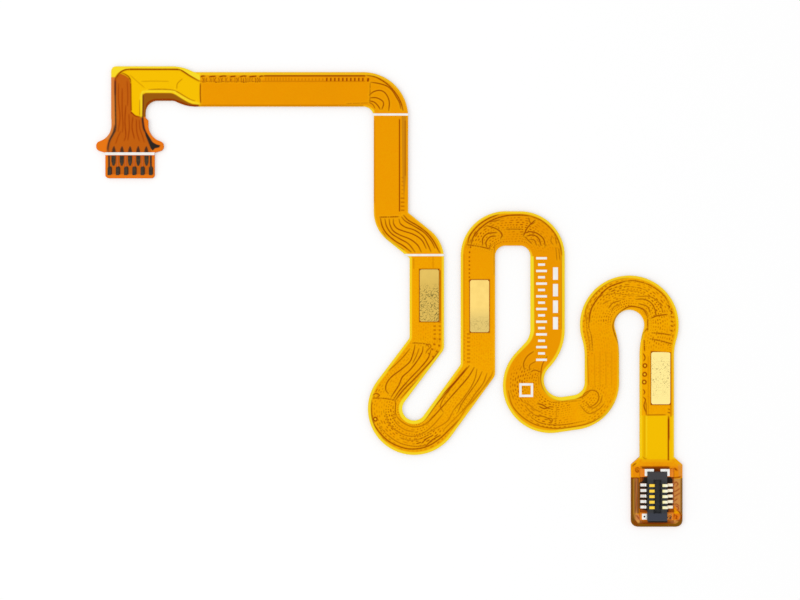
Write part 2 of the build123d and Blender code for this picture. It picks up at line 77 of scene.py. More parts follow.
# Sides of the two ends, as x, y and rounding radius. The tail's x is measured from its own middle.
# Each rounding is an arc of a few points.
ARC_POINTS = 9
HEAD_SIDE = ((0.0, -2.23, 0.0), (1.865, -2.23, 0.47), (1.865, 2.28, 0.0), (1.25, 2.83, 0.0))
TAIL_MIDDLE = -38.203
TAIL_TOP = 27.429
TAIL_END = 23.045
BARE_TOP = 24.675
TAIL_RIGHT = (
    (1.14, TAIL_TOP, 0.0), (1.34, 27.229, 0.0), (1.34, 26.039, 1.2), (2.45, 25.635, 0.34),
    (2.45, 25.075, 0.34), (1.79, 24.898, 0.0), (1.79, TAIL_END, 0.25), (0.0, TAIL_END, 0.0),
)
TAIL_LEFT = ((1.36, TAIL_TOP, 0.0), *TAIL_RIGHT[1:])

# Windows of the top cover over the ground pads: the run they lie on, their start and end, and across
WINDOWS = (
    ("lead", 3.79, 7.63, -1.01, 0.43),
    ("left_leg", 1.71, 5.55, -0.60, 0.84),
    ("fold_leg", 1.04, 4.88, -0.90, 0.54),
)

# Half sizes of the opening round the connector, and half the width of an upright step in the grid
OPENING = (1.22, 1.975)
HAIR = 0.002

# Heights of the film's layers, and how much lower its edges lie
Z_UNDER = 0.175
Z_BASE = 0.25
Z_COPPER = 0.2705
Z_TOP = 0.30
EDGE_DROP = 0.012

# Half the pitch of the signal lines that show in the underside
HALF_LANE = 0.15


def colour(red, green, blue):
    """A display colour from 0 to 255, turned into the linear values that shaders take."""
    found = []
    for value in (red, green, blue):
        share = value / 255.0
        found.append(share / 12.92 if share <= 0.04045 else ((share + 0.055) / 1.055) ** 2.4)
    return tuple(found)


def clamp(values):
    return np.clip(values, 0.0, 1.0)


def smooth_step(low, high, values):
    """0 below low, 1 above high, and 3t squared less 2t cubed between them."""
    share = clamp((values - low) / (high - low))
    return share * share * (3.0 - 2.0 * share)


# Bright edge of the covers: run, distance along it, then width and strength on the left and right
RIMS = (
    ("lead", 0, 0.16, 0.55, 0.116, 0.45),
    ("lead", 7, 0.181, 0.6, 0.145, 0.5),
    ("lead", 10, 0.087, 0.3, 0.181, 0.75),
    ("lead", 17, 0.087, 0.3, 0.181, 0.8),
    ("short_leg", 0, 0.101, 0.35, 0.16, 0.65),
    ("short_leg", 1.88, 0.131, 0.45, 0.16, 0.65),
    ("hook_floor", 0, 0.181, 0.7, 0.29, 1),
    ("hook_floor", 1.5, 0.203, 0.8, 0.29, 1),
    ("slope", -2.5, 0.203, 0.85, 0.189, 0.6),
    ("slope", 0, 0.203, 0.85, 0.217, 0.8),
    ("marked_leg", 0, 0.29, 1, 0.217, 0.8),
    ("marked_leg", 5.3, 0.254, 1, 0.217, 0.8),
    ("slope", 8.2, 0.145, 0.8, 0.189, 0.8),
    ("arch_top", -1.5, 0.116, 0.15, 0.174, 0.8),
    ("arch_top", 0, 0.116, 0.12, 0.174, 0.8),
    ("arch_top", 2, 0.116, 0.15, 0.174, 0.8),
    ("left_leg", 0, 0.101, 0.2, 0.174, 0.75),
    ("left_leg", 7.7, 0.101, 0.25, 0.174, 0.75),
    ("right_slant", 0.5, 0.131, 0.35, 0.189, 0.8),
    ("right_slant", 4.4, 0.203, 0.85, 0.261, 1),
    ("left_slant", -0.5, 0.203, 0.85, 0.261, 1),
    ("left_slant", 2, 0.203, 0.85, 0.203, 0.8),
    ("fold_leg", 0, 0.174, 0.8, 0.167, 0.8),
    ("fold_leg", 5.6, 0.174, 0.8, 0.167, 0.8),
    ("jog", 0, 0.189, 0.9, 0.131, 0.45),
    ("drop_leg", 0, 0.101, 0.4, 0.101, 0.3),
    ("drop_leg", 1, 0.065, 0.1, 0.072, 0.1),
    ("drop_leg", 6.8, 0.065, 0.1, 0.072, 0.1),
    ("drop_leg", 8, 0.16, 0.75, 0.131, 0.4),
    ("long_arm", 0, 0.087, 0.35, 0.21, 0.45),
    ("long_arm", 2, 0.058, 0.3, 0.21, 0.5),
    ("long_arm", 11.8, 0.058, 0.3, 0.217, 0.6),
    ("arm_end", 0, 0.036, 0, 0.036, 0),
)

# How light the film is along the route, from 0 to 1
TONES = (
    ("lead", 0, 0.8),
    ("lead", 13, 1),
    ("short_leg", 0, 0.6),
    ("hook_floor", 0, 0.9),
    ("slope", 0, 0.15),
    ("marked_leg", 2, 0.2),
    ("marked_leg", 5, 0.15),
    ("arch_top", 0.5, 0.12),
    ("left_leg", 0, 0.4),
    ("left_leg", 7, 0.9),
    ("right_slant", 3, 0.9),
    ("right_slant", 6, 0.75),
    ("left_slant", 0, 0.85),
    ("fold_leg", 0, 0.8),
    ("fold_leg", 5, 0.7),
    ("jog", 0, 0.6),
    ("drop_leg", 1, 0.35),
    ("drop_leg", 6, 0.3),
    ("long_arm", 2, 0.1),
    ("arm_end", 0, 0.2),
)

# Where the covers' bright edge and the lit shoulders stop: along the route, and along the long arm
HEAD_PLAIN = -0.1
TAIL_PLAIN = 12.0

# Straight conductors: run, start, end, distance to the left, width and strength
RAILS = (
    ("long_arm", -0.1, 7.2, -0.98, 0.055, 1),
    ("drop_leg", 0, 6.7, -0.62, 0.042, 1),
    ("drop_leg", 2.6, 6.6, -1.04, 0.05, 0.4),
    ("drop_leg", 0.6, 6.6, 1.2, 0.05, 0.3),
    ("left_leg", -0.1, 7.6, -1.02, 0.045, 0.25),
    ("fold_leg", 1.1, 4.8, -0.97, 0.05, 0.75),
    ("fold_leg", 4.9, 5.8, 0.95, 0.045, 0.3),
    ("fold_leg", 4.9, 5.8, -0.45, 0.045, 0.25),
    ("lead", -0.1, 3, 0.9, 0.08, 0.22),
    ("lead", 3, 7.3, 0.62, 0.04, 0.3),
    ("lead", -0.25, 2.75, -0.84, 0.055, 1),
    ("lead", 2.9, 7.2, -1.02, 0.05, 0.5),
    ("marked_leg", 0, 5.3, 1, 0.045, 0.4),
    ("marked_leg", 0, 5.3, -1.02, 0.045, 0.4),
    ("long_arm", 0, 12.1, 1.17, 0.05, 0.5),
    ("long_arm", -0.1, 12.0, -0.585, 0.05, 0.35),
)

# Rows of short marks across the ground strip: run, first, pitch, count, from, to and strength
LADDERS = (
    ("short_leg", -4.4, 0.27, 17, -1.08, -0.94, 0.45),
    ("short_leg", -4.3, 0.27, 16, -0.76, -0.66, 0.4),
    ("lead", 9.6, 0.42, 9, -0.98, -0.86, 0.6),
    ("long_arm", -0.25, 0.29, 11, -0.84, -0.58, 1.1),
    ("long_arm", 2.95, 0.25, 10, -0.8, -0.62, 0.4),
    ("long_arm", 5.4, 0.21, 9, -0.86, -0.55, 0.35),
    ("drop_leg", 0.1, 0.29, 4, -0.98, -0.7, 0.6),
    ("drop_leg", 1.3, 0.29, 5, -0.9, -0.76, 0.35),
    ("left_leg", -0.5, 0.29, 9, -0.67, -0.57, 1),
    ("left_leg", 5.65, 0.29, 8, -0.8, -0.56, 0.65),
    ("left_leg", 5.5, 0.29, 8, -1.05, -0.95, 0.5),
    ("fold_leg", -1, 0.29, 8, -0.66, -0.48, 0.75),
    ("fold_leg", -1, 0.29, 8, -1.02, -0.86, 0.75),
    ("marked_leg", 0.1, 0.29, 5, -0.9, -0.62, 0.2),
)

# Small rings in the film, as x and y of their middles
RINGS = ((-0.86, 9.45), (-0.88, 8.82), (-0.91, 8.26), (-20.41, 5.57))

# Stretches of the film: name, and the run and distance where each ends
STRETCHES = (
    ("connector", "short_leg", 1.0),
    ("marked", "arch_top", 0.5),
    ("pocket", "fold_leg", 5.89),
    ("drop", "drop_leg", 7.04),
    ("plug", "tail", 20.0),
)

# Fine broken tracks that follow the bends: pitch, then run, start, end and strength
TRACK_PITCH = 0.17
TRACKS = (
    ("lead", 8, 16.8, 0.85),
    ("short_leg", -2, 1.5, 0.25),
    ("short_leg", 2, 4.5, 0.6),
    ("hook_floor", 0.5, 6.5, 0.8),
    ("arch_top", -2.6, 3.6, 0.75),
    ("left_leg", 4.4, 7.7, 0.25),
    ("right_slant", 0.3, 4.2, 0.4),
    ("right_slant", 4.4, 11, 0.85),
    ("left_slant", 0.3, 3.4, 0.35),
    ("fold_leg", -1.2, 1.2, 0.3),
)

# Curls under the long arm's upper edge: first x, pitch, count, top and bottom. Then the ends in x of
# the caps over them
CURLS = (-32.95, 0.166, 26, 30.36, 30.0)
CAPS = (
    (-33.07, -32.76), (-32.44, -31.99), (-31.71, -31.21), (-30.94, -30.54), (-30.22, -29.76),
    (-29.54, -29.04), (-28.81, -28.51),
)

# Pads in the windows: node, tone, cloud, lower tone, then heights, scale, width and strength of scratches
WINDOW_LOOKS = (
    ("ground_pad_1", (243, 223, 146), (230, 208, 128), (243, 223, 146), 7.2, 10.0, 3800.0, 0.013, 0.5),
    ("ground_pad_2", (234, 203, 116), (224, 192, 106), (210, 184, 108), 12.0, 12.9, 3400.0, 0.03, 0.25),
    ("ground_pad_3", (210, 178, 90), (198, 168, 84), (202, 170, 84), 12.5, 15.2, 4300.0, 0.03, 0.75),
)

# Outlines that two tones share: the painted shadow on the film below the end of the long arm, and the film
# right of the connector
ARM_END_PAINTED_SHADOW = (
    (-37.27, 27.49), (-37.27, 29.0), (-37.2, 29.16), (-37.03, 29.22), (-35.24, 29.22), (-34.87, 29.1),
    (-34.42, 28.8), (-33.97, 28.54), (-33.66, 28.42), (-33.2, 28.38), (-33.2, 28.1), (-36.5, 28.1),
    (-36.8, 27.49),
)
RIGHT_MARGIN = ((1.12, 1.23), (1.86, 1.27), (1.86, -1.23), (1.72, -1.23), (1.12, -0.51))


def side_by_side(count, pitch, strength, corners):
    """The same zone several times along x."""
    return [(strength, [(x + index * pitch, y) for x, y in corners]) for index in range(count)]


# Zones of one tone in the film, as strength and corner points
ZONES = {
    "pale": (
        (1, ((-40.51, 31.61), (-33.1, 31.61), (-33.1, 27.26), (-40.51, 27.26))),
        (1, ((-1.22, 5.84), (1.32, 5.84), (1.32, 2.68), (-1.22, 2.68))),
        (0.75, ((-1.1, 2.75), (1.15, 2.75), (1.15, 2.46), (-1.1, 2.46))),
        (0.7, ((-1.25, 2.83), (-1.1, 2.83), (-1.35, 2.3), (-1.87, 2.1), (-1.87, 2.28))),
        (0.6, ((1.25, 2.83), (1.15, 2.83), (1.3, 2.4), (1.75, 2.2), (1.87, 2.28))),
        (0.15, ((-1.91, 2.46), (-1.22, 2.72), (1.25, 2.72), (1.97, 2.43), (1.97, 2.19), (-1.91, 2.19))),
    ),
    "warm": (
        (1, ((-40.16, 30.39), (-39.27, 30.39), (-39.27, 26.43), (-40.16, 26.43))),
        (1, ((-41.09, 26.95), (-37.26, 26.95), (-37.26, 27.49), (-34.88, 27.49), (-34.88, 22.29),
            (-41.09, 22.29))),
        (0.5, ((-1.76, 2.17), (-1.07, 2.17), (-1.07, 1.4), (-1.76, 1.4))),
        (0.5, ((0.96, 2.17), (1.86, 2.17), (1.86, 1.36), (0.96, 1.36))),
        (0.28, ((-1.91, 2.65), (1.97, 2.65), (1.97, 2.12), (-1.91, 2.12))),
        (0.3, ((-1.15, 2.43), (1.03, 2.43), (1.03, 2.12), (-1.15, 2.12))),
        (1, ((-1.56, -1.36), (-1.36, -1.3), (-1.07, -1.36), (-1.07, -1.78), (-1.56, -1.74))),
        (0.9, ((0.76, -1.27), (1.65, -1.27), (1.74, -1.52), (1.57, -1.74), (0.83, -1.7))),
        (0.75, ((1.16, -0.58), (1.68, -0.58), (1.68, -1.12), (1.43, -1.09), (1.17, -0.8))),
        (0.5, ((1.12, 1.12), (1.39, 1.16), (1.68, 0.51), (1.68, -0.51), (1.12, -0.51))),
        (0.35, ((-1.65, 1.3), (-1.29, 1.3), (-1.29, -1.23), (-1.65, -1.23))),
        (0.7, ((-1.11, -1.85), (1.39, -1.85), (1.39, -1.98), (-1.11, -1.98))),
    ),
    "brown": (
        (1, ((-39.24, 26.69), (-39.27, 29.12), (-39.27, 30.11), (-39.1, 30.47), (-38.87, 30.63),
            (-38.5, 30.47), (-38.24, 30.26), (-38.16, 29.9), (-38.12, 27.98), (-38.04, 27.78),
            (-37.78, 27.57), (-37.36, 27.47), (-37.25, 27.47), (-37.21, 26.95), (-37.11, 26.53),
            (-36.95, 25.97), (-36.74, 25.45), (-36.64, 24.93), (-36.64, 23.32), (-39.69, 23.32),
            (-39.8, 24.96), (-39.74, 25.4), (-39.62, 25.81), (-39.36, 26.28))),
        (0.85, ((-1.56, 1.3), (-1.27, 1.3), (-1.27, -1.27), (-1.56, -1.27))),
        (0.6, ((-1.27, -0.87), (-0.71, -1.01), (-0.71, -1.3), (-1.27, -1.3))),
        (0.5, ((0.85, -0.94), (1.14, -0.87), (1.39, -1.16), (0.85, -1.23))),
        # Painted shadow below the end of the long arm
        (0.85, ARM_END_PAINTED_SHADOW),
    ),
    "olive": (
        (0.8, ((-18.5, 27.55), (-18.18, 27.55), (-18.18, 23.05), (-18.33, 21.46), (-18.44, 23.05))),
        (0.5, RIGHT_MARGIN),
    ),
    "tan": (
        (0.6, ((-1.69, -1.3), (-1.36, -1.3), (-1.07, -1.8), (-1.07, -2.0), (-1.4, -1.98), (-1.66, -1.65))),
        (0.6, ((1.75, -1.3), (1.75, -1.66), (1.42, -1.98), (1.0, -2.0), (1.0, -1.75), (1.57, -1.74))),
        (0.55, RIGHT_MARGIN),
        (0.35, ((-40.16, 30.39), (-39.27, 30.39), (-39.27, 26.43), (-39.59, 25.86), (-40.16, 25.86))),
        (0.55, ((-1.69, 1.3), (-1.36, 1.3), (-1.36, -1.27), (-1.69, -1.27))),
        (0.25, ((1.54, 2.32), (1.94, 2.32), (1.94, 1.38), (1.61, 1.38))),
    ),
    "shade": (
        # Painted shadow below the end of the long arm
        (0.62, ARM_END_PAINTED_SHADOW),
        (0.9, ((-1.87, 1.34), (-1.69, 1.34), (-1.69, -1.3), (-1.62, -1.63), (-1.4, -1.96),
            (1.03, -1.99), (1.39, -1.99), (1.72, -1.7), (1.79, -1.3), (1.79, 1.3), (1.94, 1.34),
            (1.94, -2.39), (-1.91, -2.39), (-1.91, 1.34))),
        (0.5, ((-1.41, 1.3), (-1.26, 1.3), (-1.26, -1.27), (-1.41, -1.27))),
        (0.9, ((-1.07, 2.1), (0.92, 2.1), (0.96, 1.23), (-1.07, 1.01))),
        (0.5, ((-1.91, 1.3), (-1.54, 1.3), (-1.54, -1.96), (-1.91, -1.96))),
        (0.3, ((1.68, 1.3), (1.94, 1.3), (1.94, -1.96), (1.68, -1.96))),
    ),
    "dark": (
        (1, ((-37.13, 26.43), (-37, 26.38), (-36.77, 26.02), (-36.54, 25.65), (-36.28, 25.5),
            (-35.99, 25.42), (-36.07, 25.27), (-36.38, 25.2), (-36.55, 25.03), (-36.69, 25.19),
            (-36.85, 25.6), (-37.06, 26.12))),
        # Painted shade on the floor of the connector's opening, between its contacts
        (1, ((-0.94, 1.41), (0.92, 1.49), (1.16, 1.2), (1.16, -0.91), (0.85, -0.94), (0.78, -1.92),
            (-0.64, -1.92), (-0.67, -1.09), (-1.27, -0.91), (-1.27, 0.97), (-1.1, 1.03), (-0.97, 1.15))),
        *side_by_side(5, 0.5875, 0.9, (
            (-39.52, 24.88), (-39.48, 25.14), (-39.4, 25.33), (-39.33, 25.37), (-39.25, 25.14),
            (-39.2, 24.88),
        )),
        *side_by_side(6, 0.596, 0.92, (
            (-39.81, 23.83), (-39.71, 23.91), (-39.55, 23.9), (-39.49, 23.79), (-39.49, 23.31),
            (-39.81, 23.31),
        )),
        *side_by_side(5, 0.5925, 0.92, (
            (-39.53, 24.64), (-39.22, 24.64), (-39.24, 24.15), (-39.35, 23.95), (-39.48, 24.08),
        )),
        (0.75, ((-39.81, 24.67), (-39.69, 24.67), (-39.68, 23.32), (-39.8, 23.32))),
        (0.75, ((-36.71, 24.67), (-36.6, 24.67), (-36.59, 23.32), (-36.7, 23.32))),
    ),
}

# Bright edge of the plug-in end, as strength and corner points
RIM_ZONES = (
    (1, ((-39.69, 30.37), (-39.31, 30.37), (-39.13, 30.63), (-38.87, 30.83), (-38.56, 30.96),
        (-38.19, 31.01), (-34.72, 31), (-34.36, 30.87), (-33.84, 30.53), (-33.22, 30.18),
        (-33.12, 30.18), (-33.12, 30.5), (-33.33, 30.63), (-33.64, 30.83), (-34.36, 31.09),
        (-34.72, 31.3), (-39.69, 31.3))),
)

# Dark and bright lines of the two ends, as width, strength and points
DARK_LINES = (
    (0.06, 1, ((-39.26, 30.06), (-39.27, 29.18), (-39.25, 27.98), (-39.24, 26.69), (-39.38, 26.28),
        (-39.64, 25.81), (-39.77, 25.4), (-39.8, 24.88))),
    (0.08, 1, ((-39.27, 26.9), (-39.38, 26.39), (-39.67, 25.79), (-39.79, 25.3), (-39.8, 24.9))),
    (0.08, 1, ((-37.29, 27.49), (-37.26, 27.05), (-37.19, 26.64), (-37.05, 26.35))),
    (0.05, 0.6, ((-37.25, 29.12), (-37.25, 28.3), (-37.27, 27.52))),
    (0.05, 0.5, ((-1.87, 1.3), (-1.87, -1.3), (-1.69, -1.78))),
    (0.045, 0.6, ((-1.38, 1.3), (-1.37, 0.14), (-1.38, -1.23))),
    (0.04, 0.5, ((-1.58, 1.3), (-1.59, 0.14), (-1.57, -1.23))),
    (0.045, 0.5, ((1.77, 1.3), (1.77, -1.3))),
)
BRIGHT_LINES = (
    (0.085, 0.95, ((-37.38, 27.52), (-37.38, 28.9), (-37.3, 29.2), (-37.03, 29.33), (-35.17, 29.32),
        (-34.87, 29.19), (-34.42, 28.92), (-33.97, 28.68), (-33.6, 28.53), (-33.2, 28.45))),
    (0.045, 0.5, ((-0.745, 5.8), (-0.745, 4.3), (-0.745, 2.85))),
)

# Edges of the copper in the bends and ends, as width, strength, dash pitch and points in millimetres.
# All are drawn wider and darker by the two factors.
LINE_WIDER = 1.05
LINE_DARKER = 1.7
LINES = {
    "corner": (
        (0.052, 0.85, 0, ((-21.05, 30.51), (-20.33, 30.35), (-19.5, 29.83), (-18.88, 29.12),
            (-18.55, 28.5), (-18.4, 27.96))),
        (0.047, 0.7, 0, ((-20.72, 30), (-20.12, 29.9), (-19.55, 29.71), (-19.17, 29.38),
            (-18.88, 28.92), (-18.65, 28.5), (-18.57, 28.09))),
        (0.047, 0.75, 0, ((-20.84, 29.07), (-20.53, 29.31), (-20.12, 29.41), (-19.76, 29.28),
            (-19.5, 28.92), (-19.39, 28.5), (-19.44, 27.93))),
        (0.047, 0.65, 0, ((-20.79, 28.87), (-20.33, 28.87), (-19.91, 28.66), (-19.81, 28.4),
            (-19.93, 28.04))),
        (0.047, 0.65, 0, ((-20.84, 28.66), (-20.48, 28.55), (-20.22, 28.3), (-20.06, 28.04))),
        (0.042, 0.5, 0, ((-20.84, 28.53), (-20.59, 28.38), (-20.43, 28.11))),
        (0.037, 0.5, 0.116, ((-20.78, 29.95), (-20.8, 28.5))),
        (0.037, 0.35, 0.116, ((-22.5, 28.45), (-20.84, 28.5))),
    ),
    "jog": (
        (0.047, 0.6, 0.123, ((-20.09, 20.22), (-19.4, 20.23), (-18.71, 20.25))),
        (0.052, 0.8, 0, ((-20.04, 20.13), (-19.89, 19.53), (-19.58, 19.02), (-18.98, 18.5),
            (-18.38, 18.14), (-17.82, 17.7))),
        (0.047, 0.7, 0, ((-19.71, 20.07), (-19.58, 19.53), (-19.22, 19.02), (-18.62, 18.64),
            (-18.01, 18.28), (-17.53, 17.69))),
        (0.047, 0.7, 0, ((-19.4, 20.07), (-19.34, 19.65), (-19.1, 19.22), (-18.62, 18.92),
            (-17.89, 18.62), (-17.35, 18.2), (-17.07, 17.68))),
        (0.047, 0.7, 0, ((-19.1, 20.07), (-19.08, 19.74), (-18.84, 19.41), (-18.35, 19.2),
            (-17.65, 18.97), (-17.05, 18.56), (-16.71, 17.93))),
        (0.047, 0.7, 0, ((-18.69, 20.07), (-18.58, 19.74), (-18.2, 19.48), (-17.53, 19.26),
            (-16.93, 18.8), (-16.59, 18.2), (-16.37, 17.71))),
        (0.052, 0.85, 0, ((-18.35, 20.35), (-18.01, 19.99), (-17.29, 19.56), (-16.66, 19.07),
            (-16.2, 18.5), (-15.86, 17.86), (-15.74, 17.65))),
        (0.047, 0.7, 0, ((-18.5, 20.23), (-18.2, 19.91), (-17.53, 19.53), (-16.87, 19.1),
            (-16.35, 18.5), (-16.08, 17.98))),
        (0.042, 0.5, 0, ((-19.89, 19.16), (-19.52, 18.62), (-18.92, 18.2), (-18.35, 17.86))),
    ),
    "left_slant": (
        (0.047, 0.55, 0.123, ((-17.71, 11.09), (-17.35, 11.09), (-16.68, 11), (-16.54, 10.8))),
        (0.047, 0.7, 0, ((-17.53, 10.95), (-17.63, 10.46), (-17.89, 9.76), (-18.5, 9.2),
            (-19.22, 8.65), (-19.58, 8.17), (-19.65, 7.71), (-19.46, 7.42))),
        (0.047, 0.65, 0, ((-16.95, 10.83), (-17.02, 10.4), (-17.41, 9.74), (-17.92, 9.11),
            (-18.44, 8.63), (-18.71, 8.02), (-19.1, 7.42), (-19.25, 7.18))),
        (0.047, 0.7, 0, ((-16.38, 10.58), (-16.59, 9.98), (-17.17, 9.26), (-17.89, 8.51),
            (-18.62, 7.68), (-19.07, 7.02))),
        (0.052, 0.85, 0, ((-15.81, 10.49), (-16.3, 9.86), (-16.93, 9.17), (-17.65, 8.41),
            (-18.38, 7.68), (-18.94, 6.96))),
        (0.042, 0.5, 0, ((-15.6, 10.34), (-16.18, 9.64), (-16.93, 8.81), (-17.83, 7.89), (-18.56, 7.08))),
        (0.042, 0.5, 0, ((-17.89, 10.68), (-18.5, 9.96), (-19.22, 9.29), (-19.95, 8.75),
            (-20.49, 8.02), (-20.72, 7.2))),
        (0.042, 0.45, 0, ((-17.23, 10.71), (-17.41, 10.2), (-17.71, 9.62))),
        (0.042, 0.5, 0, ((-16.75, 10.89), (-16.5, 11.01), (-16.38, 10.83), (-16.62, 10.58),
            (-16.75, 10.34))),
    ),
    "pocket": (
        (0.042, 0.6, 0.123, ((-20.58, 7.1), (-19.83, 7.08), (-18.94, 6.94))),
        (0.042, 0.6, 0.123, ((-18.93, 6.86), (-18.98, 5.85))),
        (0.052, 0.55, 0, ((-20.7, 6.96), (-20.61, 5.51), (-20.07, 4.57), (-19.22, 3.84),
            (-18.01, 3.42), (-16.81, 3.54), (-15.84, 4.08), (-14.99, 4.87), (-14.36, 5.53))),
        (0.042, 0.45, 0.131, ((-20.25, 5.27), (-19.58, 4.48), (-18.62, 3.84), (-17.53, 3.6),
            (-16.68, 3.72), (-16.06, 4.18))),
        (0.047, 0.35, 0, ((-19.71, 6.05), (-19.34, 5.15), (-18.62, 4.57), (-17.77, 4.33),
            (-16.93, 4.57), (-16.2, 5.15), (-15.48, 5.99))),
        (0.047, 0.3, 0, ((-19.22, 5.99), (-18.86, 5.27), (-18.26, 4.81), (-17.59, 4.66))),
        (0.047, 0.4, 0, ((-18.92, 5.85), (-18.5, 5.39), (-17.77, 5.03), (-17.05, 5.09),
            (-16.56, 5.39), (-16.2, 5.85))),
        (0.042, 0.6, 0, ((-17.05, 3.82), (-16.68, 4.16), (-16.26, 4.37))),
        (0.042, 0.6, 0, ((-16.78, 3.58), (-16.32, 4.04), (-15.69, 4.4))),
        (0.042, 0.6, 0, ((-17.43, 3.79), (-17.1, 3.89))),
        (0.042, 0.6, 0, ((-20.62, 7.3), (-20.33, 7.44), (-20.12, 7.3), (-20.31, 7.13))),
        (0.042, 0.4, 0.131, ((-20.07, 5.03), (-19.83, 4.18), (-18.98, 3.7))),
        (0.042, 0.4, 0.131, ((-18.62, 4.24), (-17.89, 4.04), (-17.05, 4.18), (-16.44, 4.54))),
    ),
    "right_slant": (
        (0.047, 0.75, 0, ((-13.6, 9.44), (-14.27, 8.63), (-15.11, 7.66), (-16.02, 6.6),
            (-16.54, 5.87), (-16.83, 5.51))),
        (0.047, 0.6, 0, ((-13.24, 9.32), (-13.66, 8.63), (-14.39, 7.78), (-15.36, 6.69),
            (-16.2, 5.75), (-16.66, 5.27))),
        (0.042, 0.45, 0, ((-13.04, 9.2), (-13.18, 8.51), (-13.54, 7.78), (-14.24, 6.81), (-14.75, 6.21))),
        (0.042, 0.5, 0, ((-12.67, 9.01), (-13.04, 8.26), (-13.64, 7.42), (-14.12, 6.72), (-14.41, 6.09))),
        (0.042, 0.45, 0, ((-12.31, 8.89), (-12.61, 8.14), (-13.16, 7.42), (-13.66, 6.69), (-14.27, 5.97))),
        (0.042, 0.35, 0, ((-12.01, 8.75), (-12.55, 7.9), (-13.16, 7.06), (-13.69, 6.54))),
        (0.052, 0.75, 0, ((-13.76, 9.32), (-14.73, 8.17), (-15.69, 7.2), (-16.66, 6.09), (-16.95, 5.61))),
        (0.042, 0.45, 0, ((-14.93, 7.81), (-15.45, 7.08), (-15.69, 6.48), (-15.48, 6.09))),
        (0.042, 0.35, 0, ((-14.73, 6.21), (-15.21, 5.41), (-16.02, 4.91), (-16.68, 4.54))),
        (0.042, 0.3, 0, ((-11.85, 9.11), (-12.21, 8.26), (-13.04, 7.3), (-13.76, 6.48),
            (-14.36, 5.51), (-14.93, 4.78))),
        (0.042, 0.3, 0, ((-13.78, 6.48), (-14.75, 5.51), (-15.48, 4.78))),
    ),
    "arch": (
        (0.047, 0.6, 0.123, ((-13.78, 18.22), (-12.82, 18.08), (-12.07, 17.9))),
        (0.052, 0.85, 0, ((-13.47, 18.2), (-13.3, 18.78), (-12.82, 19.38), (-12.07, 19.94),
            (-11.01, 20.3), (-9.92, 20.37), (-9.17, 20.3))),
        (0.047, 0.5, 0, ((-9.17, 20.3), (-8.32, 19.94), (-7.5, 19.16), (-7.04, 18.29), (-6.9, 17.47))),
        (0.047, 0.65, 0, ((-13.71, 18.29), (-13.54, 18.9), (-12.94, 19.62), (-12.21, 20.11),
            (-11.46, 20.42))),
        (0.047, 0.65, 0, ((-12.62, 18.17), (-12.62, 18.66), (-12.26, 19.02), (-11.59, 19.1))),
        (0.047, 0.65, 0, ((-12.33, 18.02), (-12.38, 18.41), (-12.09, 18.78), (-11.66, 18.85))),
        (0.042, 0.5, 0, ((-12.17, 17.93), (-12.02, 18.25))),
        (0.047, 0.6, 0, ((-12.33, 19.6), (-11.83, 19.45), (-11.46, 19.26), (-11.22, 18.97),
            (-11.32, 18.66))),
        (0.042, 0.5, 0, ((-12.21, 19.86), (-11.71, 19.95), (-11.37, 20.03))),
        (0.042, 0.5, 0.123, ((-10.93, 19.35), (-9.77, 19.35))),
        (0.042, 0.5, 0.123, ((-11.51, 19.53), (-11.37, 19.16), (-11.13, 18.78))),
        (0.047, 0.65, 0, ((-9.68, 18.85), (-9.34, 19.5), (-8.81, 20.01))),
        (0.047, 0.65, 0, ((-9.68, 19.02), (-9.19, 19.16), (-8.69, 19.04), (-8.23, 18.66), (-8.08, 18.12))),
        (0.047, 0.65, 0, ((-9.43, 18.85), (-8.95, 18.92), (-8.56, 18.66), (-8.4, 18.17))),
        (0.042, 0.5, 0, ((-9.19, 18.61), (-8.88, 18.54), (-8.71, 18.17))),
        (0.042, 0.5, 0, ((-9.58, 18.8), (-9.05, 18.29))),
        (0.042, 0.55, 0, ((-9.31, 20.18), (-9.12, 19.74), (-8.83, 19.84))),
        (0.042, 0.5, 0.116, ((-7.6, 18.85), (-7.68, 18.5), (-7.5, 18.2))),
        (0.042, 0.5, 0.116, ((-7.38, 18.8), (-7.24, 18.2))),
        (0.037, 0.4, 0, ((-7.32, 18.02), (-7.24, 17.09))),
        (0.037, 0.4, 0, ((-7.11, 17.96), (-7.02, 17.09))),
        (0.037, 0.4, 0, ((-6.95, 18.2), (-6.82, 17.47), (-6.82, 16.87))),
        (0.037, 0.35, 0, ((-11.73, 18.38), (-11.79, 17.47), (-11.79, 16.02))),
    ),
    "hook": (
        (0.047, 0.5, 0, ((-9.59, 9.13), (-9.66, 9.6), (-9.4, 10.12), (-8.93, 10.48))),
        (0.042, 0.45, 0, ((-9.24, 9.08), (-9.19, 9.5), (-8.78, 9.76))),
        (0.042, 0.5, 0, ((-9.14, 8.98), (-8.88, 9.13), (-8.52, 9.03), (-8.34, 8.96))),
        (0.047, 0.5, 0, ((-7.95, 10.12), (-8.26, 9.6), (-8.39, 8.98), (-8.36, 8.15), (-8.05, 7.53),
            (-7.43, 7.05), (-6.71, 6.95), (-5.46, 7.17), (-4.82, 7.63))),
        (0.047, 0.45, 0, ((-10.77, 7.63), (-10.49, 6.6), (-9.81, 5.79), (-8.78, 5.17), (-7.43, 4.9),
            (-5.98, 5.04), (-4.74, 5.35), (-3.7, 5.98), (-3.06, 6.83))),
        (0.042, 0.5, 0.131, ((-9.3, 5.92), (-8.68, 5.41), (-7.95, 5.2), (-7.02, 5.15), (-6.19, 5.25),
            (-5.15, 5.46))),
        (0.042, 0.5, 0, ((-8.78, 5.82), (-8.26, 5.77), (-7.85, 5.6), (-7.64, 5.33))),
        (0.047, 0.65, 0, ((-8.65, 6.7), (-8.26, 6.6), (-7.95, 6.39), (-7.72, 6.33))),
        (0.047, 0.65, 0, ((-8.52, 6.49), (-8.16, 6.34), (-7.79, 6.44))),
        (0.042, 0.5, 0, ((-5.41, 7.06), (-5.24, 7.43), (-4.74, 7.67), (-4.33, 7.53), (-4.2, 7.12),
            (-4.41, 6.7), (-4.95, 6.39))),
